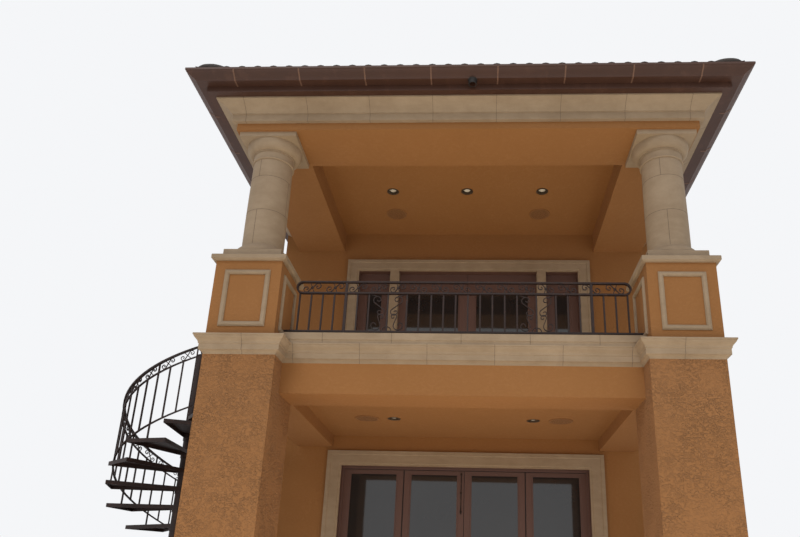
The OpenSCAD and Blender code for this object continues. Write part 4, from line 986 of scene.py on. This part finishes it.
# Stair: pressed treads round a steel pole. Each tread has raised lozenges against slipping, and
# the pole's foot plate is held down by six bolts.
balcony_level, risers, stair_r, landing_half_w = 3.085, 13, 0.93, 0.4
pole_x, pole_y, riser, tread_turn = -3.74, -1.0, balcony_level / risers, radians(30)
landing_half = asin(landing_half_w / stair_r)
lozenge = prism("lozenge", [(-0.014, 0), (0, -0.005), (0.014, 0), (0, 0.005)], 0, 0.0018, "xyz")
lozenges, lozenge_turns = [], []
for tread in range(1, risers):
    middle = -(landing_half + (risers - tread - 0.5) * tread_turn)
    for step in range(16):
        r = 0.13 + 0.046 * step
        count = max(2, int(r * 2 * tan(0.5 * tread_turn) / 0.055))
        for k in range(count):
            sideways = ((k + 0.5) / count - 0.5) * 2 * r * tan(0.46 * tread_turn)
            lozenges.append((pole_x + r * cos(middle) - sideways * sin(middle),
                             pole_y + r * sin(middle) + sideways * cos(middle), tread * riser))
            lozenge_turns.append(middle + (pi / 4 if (k + step) % 2 else -pi / 4))
pole_bolts = [(pole_x + 0.112 * cos(i * pi / 3), pole_y + 0.112 * sin(i * pi / 3), 0.016)
              for i in range(6)]
piece("tread_lozenges", row("tread_lozenges", lozenge, lozenges, iron, lozenge_turns))
piece("pole_bolts", row("pole_bolts", hex_bolt("pole_bolt", 0.012, 0.011), pole_bolts, iron))


# Lamps and loudspeakers of the ceilings: a dark satin trim round a frosted lens, and flush
# grilles of pierced sheet in the ceiling's colour, whose holes are small discs painted darker as
# painted shade.
def satin_metal(place):
    brush = place.noise(30, 4, 0.6)
    return {"Base_Color": brush.blend((0.075, 0.052, 0.038), (0.17, 0.125, 0.09)),
            "Roughness": 0.28 + brush * 0.14}


def frosted_glass(place):
    haze = place.noise(40, 3, 0.6)
    return {"Base_Color": haze.blend((0.70, 0.64, 0.54), (0.86, 0.82, 0.74)),
            "Roughness": 0.22 + haze * 0.15, "Normal": (haze * 0.0008).bump(0.8)}


def pierced_sheet(place):
    grain = place.noise(60, 3, 0.6)
    return {"Base_Color": grain.blend((0.255, 0.115, 0.042), (0.315, 0.145, 0.054)),
            "Normal": (grain * 0.0006).bump(0.8)}


# Small discs painted darker than the sheet: painted shade standing for the grille's holes.
def painted_hole_shade(place):
    grain = place.noise(80, 2, 0.5)
    return {"Base_Color": grain.blend((0.11, 0.055, 0.025), (0.15, 0.075, 0.034))}


dress(coated("satin_metal", satin_metal, Metallic=0.6), "downlights")
sheet = coated("pierced_sheet", pierced_sheet, Roughness=0.7)
dress(sheet, "speaker_grilles")
lower_z, upper_z, grille_drop = 2.845, 6.25, 0.008
lamps = [(-0.926, -1.135, lower_z), (0.926, -1.135, lower_z), (-1.1, -1.31, upper_z),
         (0.0, -1.31, upper_z), (1.1, -1.31, upper_z)]
speakers = [(-1.29, -1.14, lower_z - grille_drop), (1.29, -1.14, lower_z - grille_drop),
            (-1.115, -0.665, upper_z - grille_drop), (1.115, -0.665, upper_z - grille_drop)]
lens_glass = turned("lens", [(0, 0.006), (0.02, 0.008), (0.04, 0.015), (0.056, 0.027),
                             (0.0632, 0.038), (0.0632, 0.0395), (0, 0.0395)], 32)
lenses = row("lamp_lenses", lens_glass, lamps, coated("frosted_glass", frosted_glass))
piece("lamp_lenses", lenses, smooth=30)
rim = turned("rim", [(0.150, -0.002), (0.157, 0.0), (0.157, 0.008), (0.150, 0.008)], 48)
piece("speaker_rims", row("speaker_rims", rim, speakers, sheet))
hole = hex_bolt("hole", 0.0032, 0.0006)
hole.transform(Matrix.Scale(-1, 4, (0, 0, 1)))
hole.flip_normals()
spacing = 0.0115
holes = [(x + spacing * (i + 0.5 * (j % 2)), y + spacing * 0.866 * j, z)
         for x, y, z in speakers for i in range(-13, 14) for j in range(-15, 16)
         if hypot(spacing * (i + 0.5 * (j % 2)), spacing * 0.866 * j) < 0.138]
hole_shade_paint = coated("painted_hole_shade", painted_hole_shade, Roughness=0.9)
piece("speaker_holes", row("speaker_holes", hole, holes, hole_shade_paint))
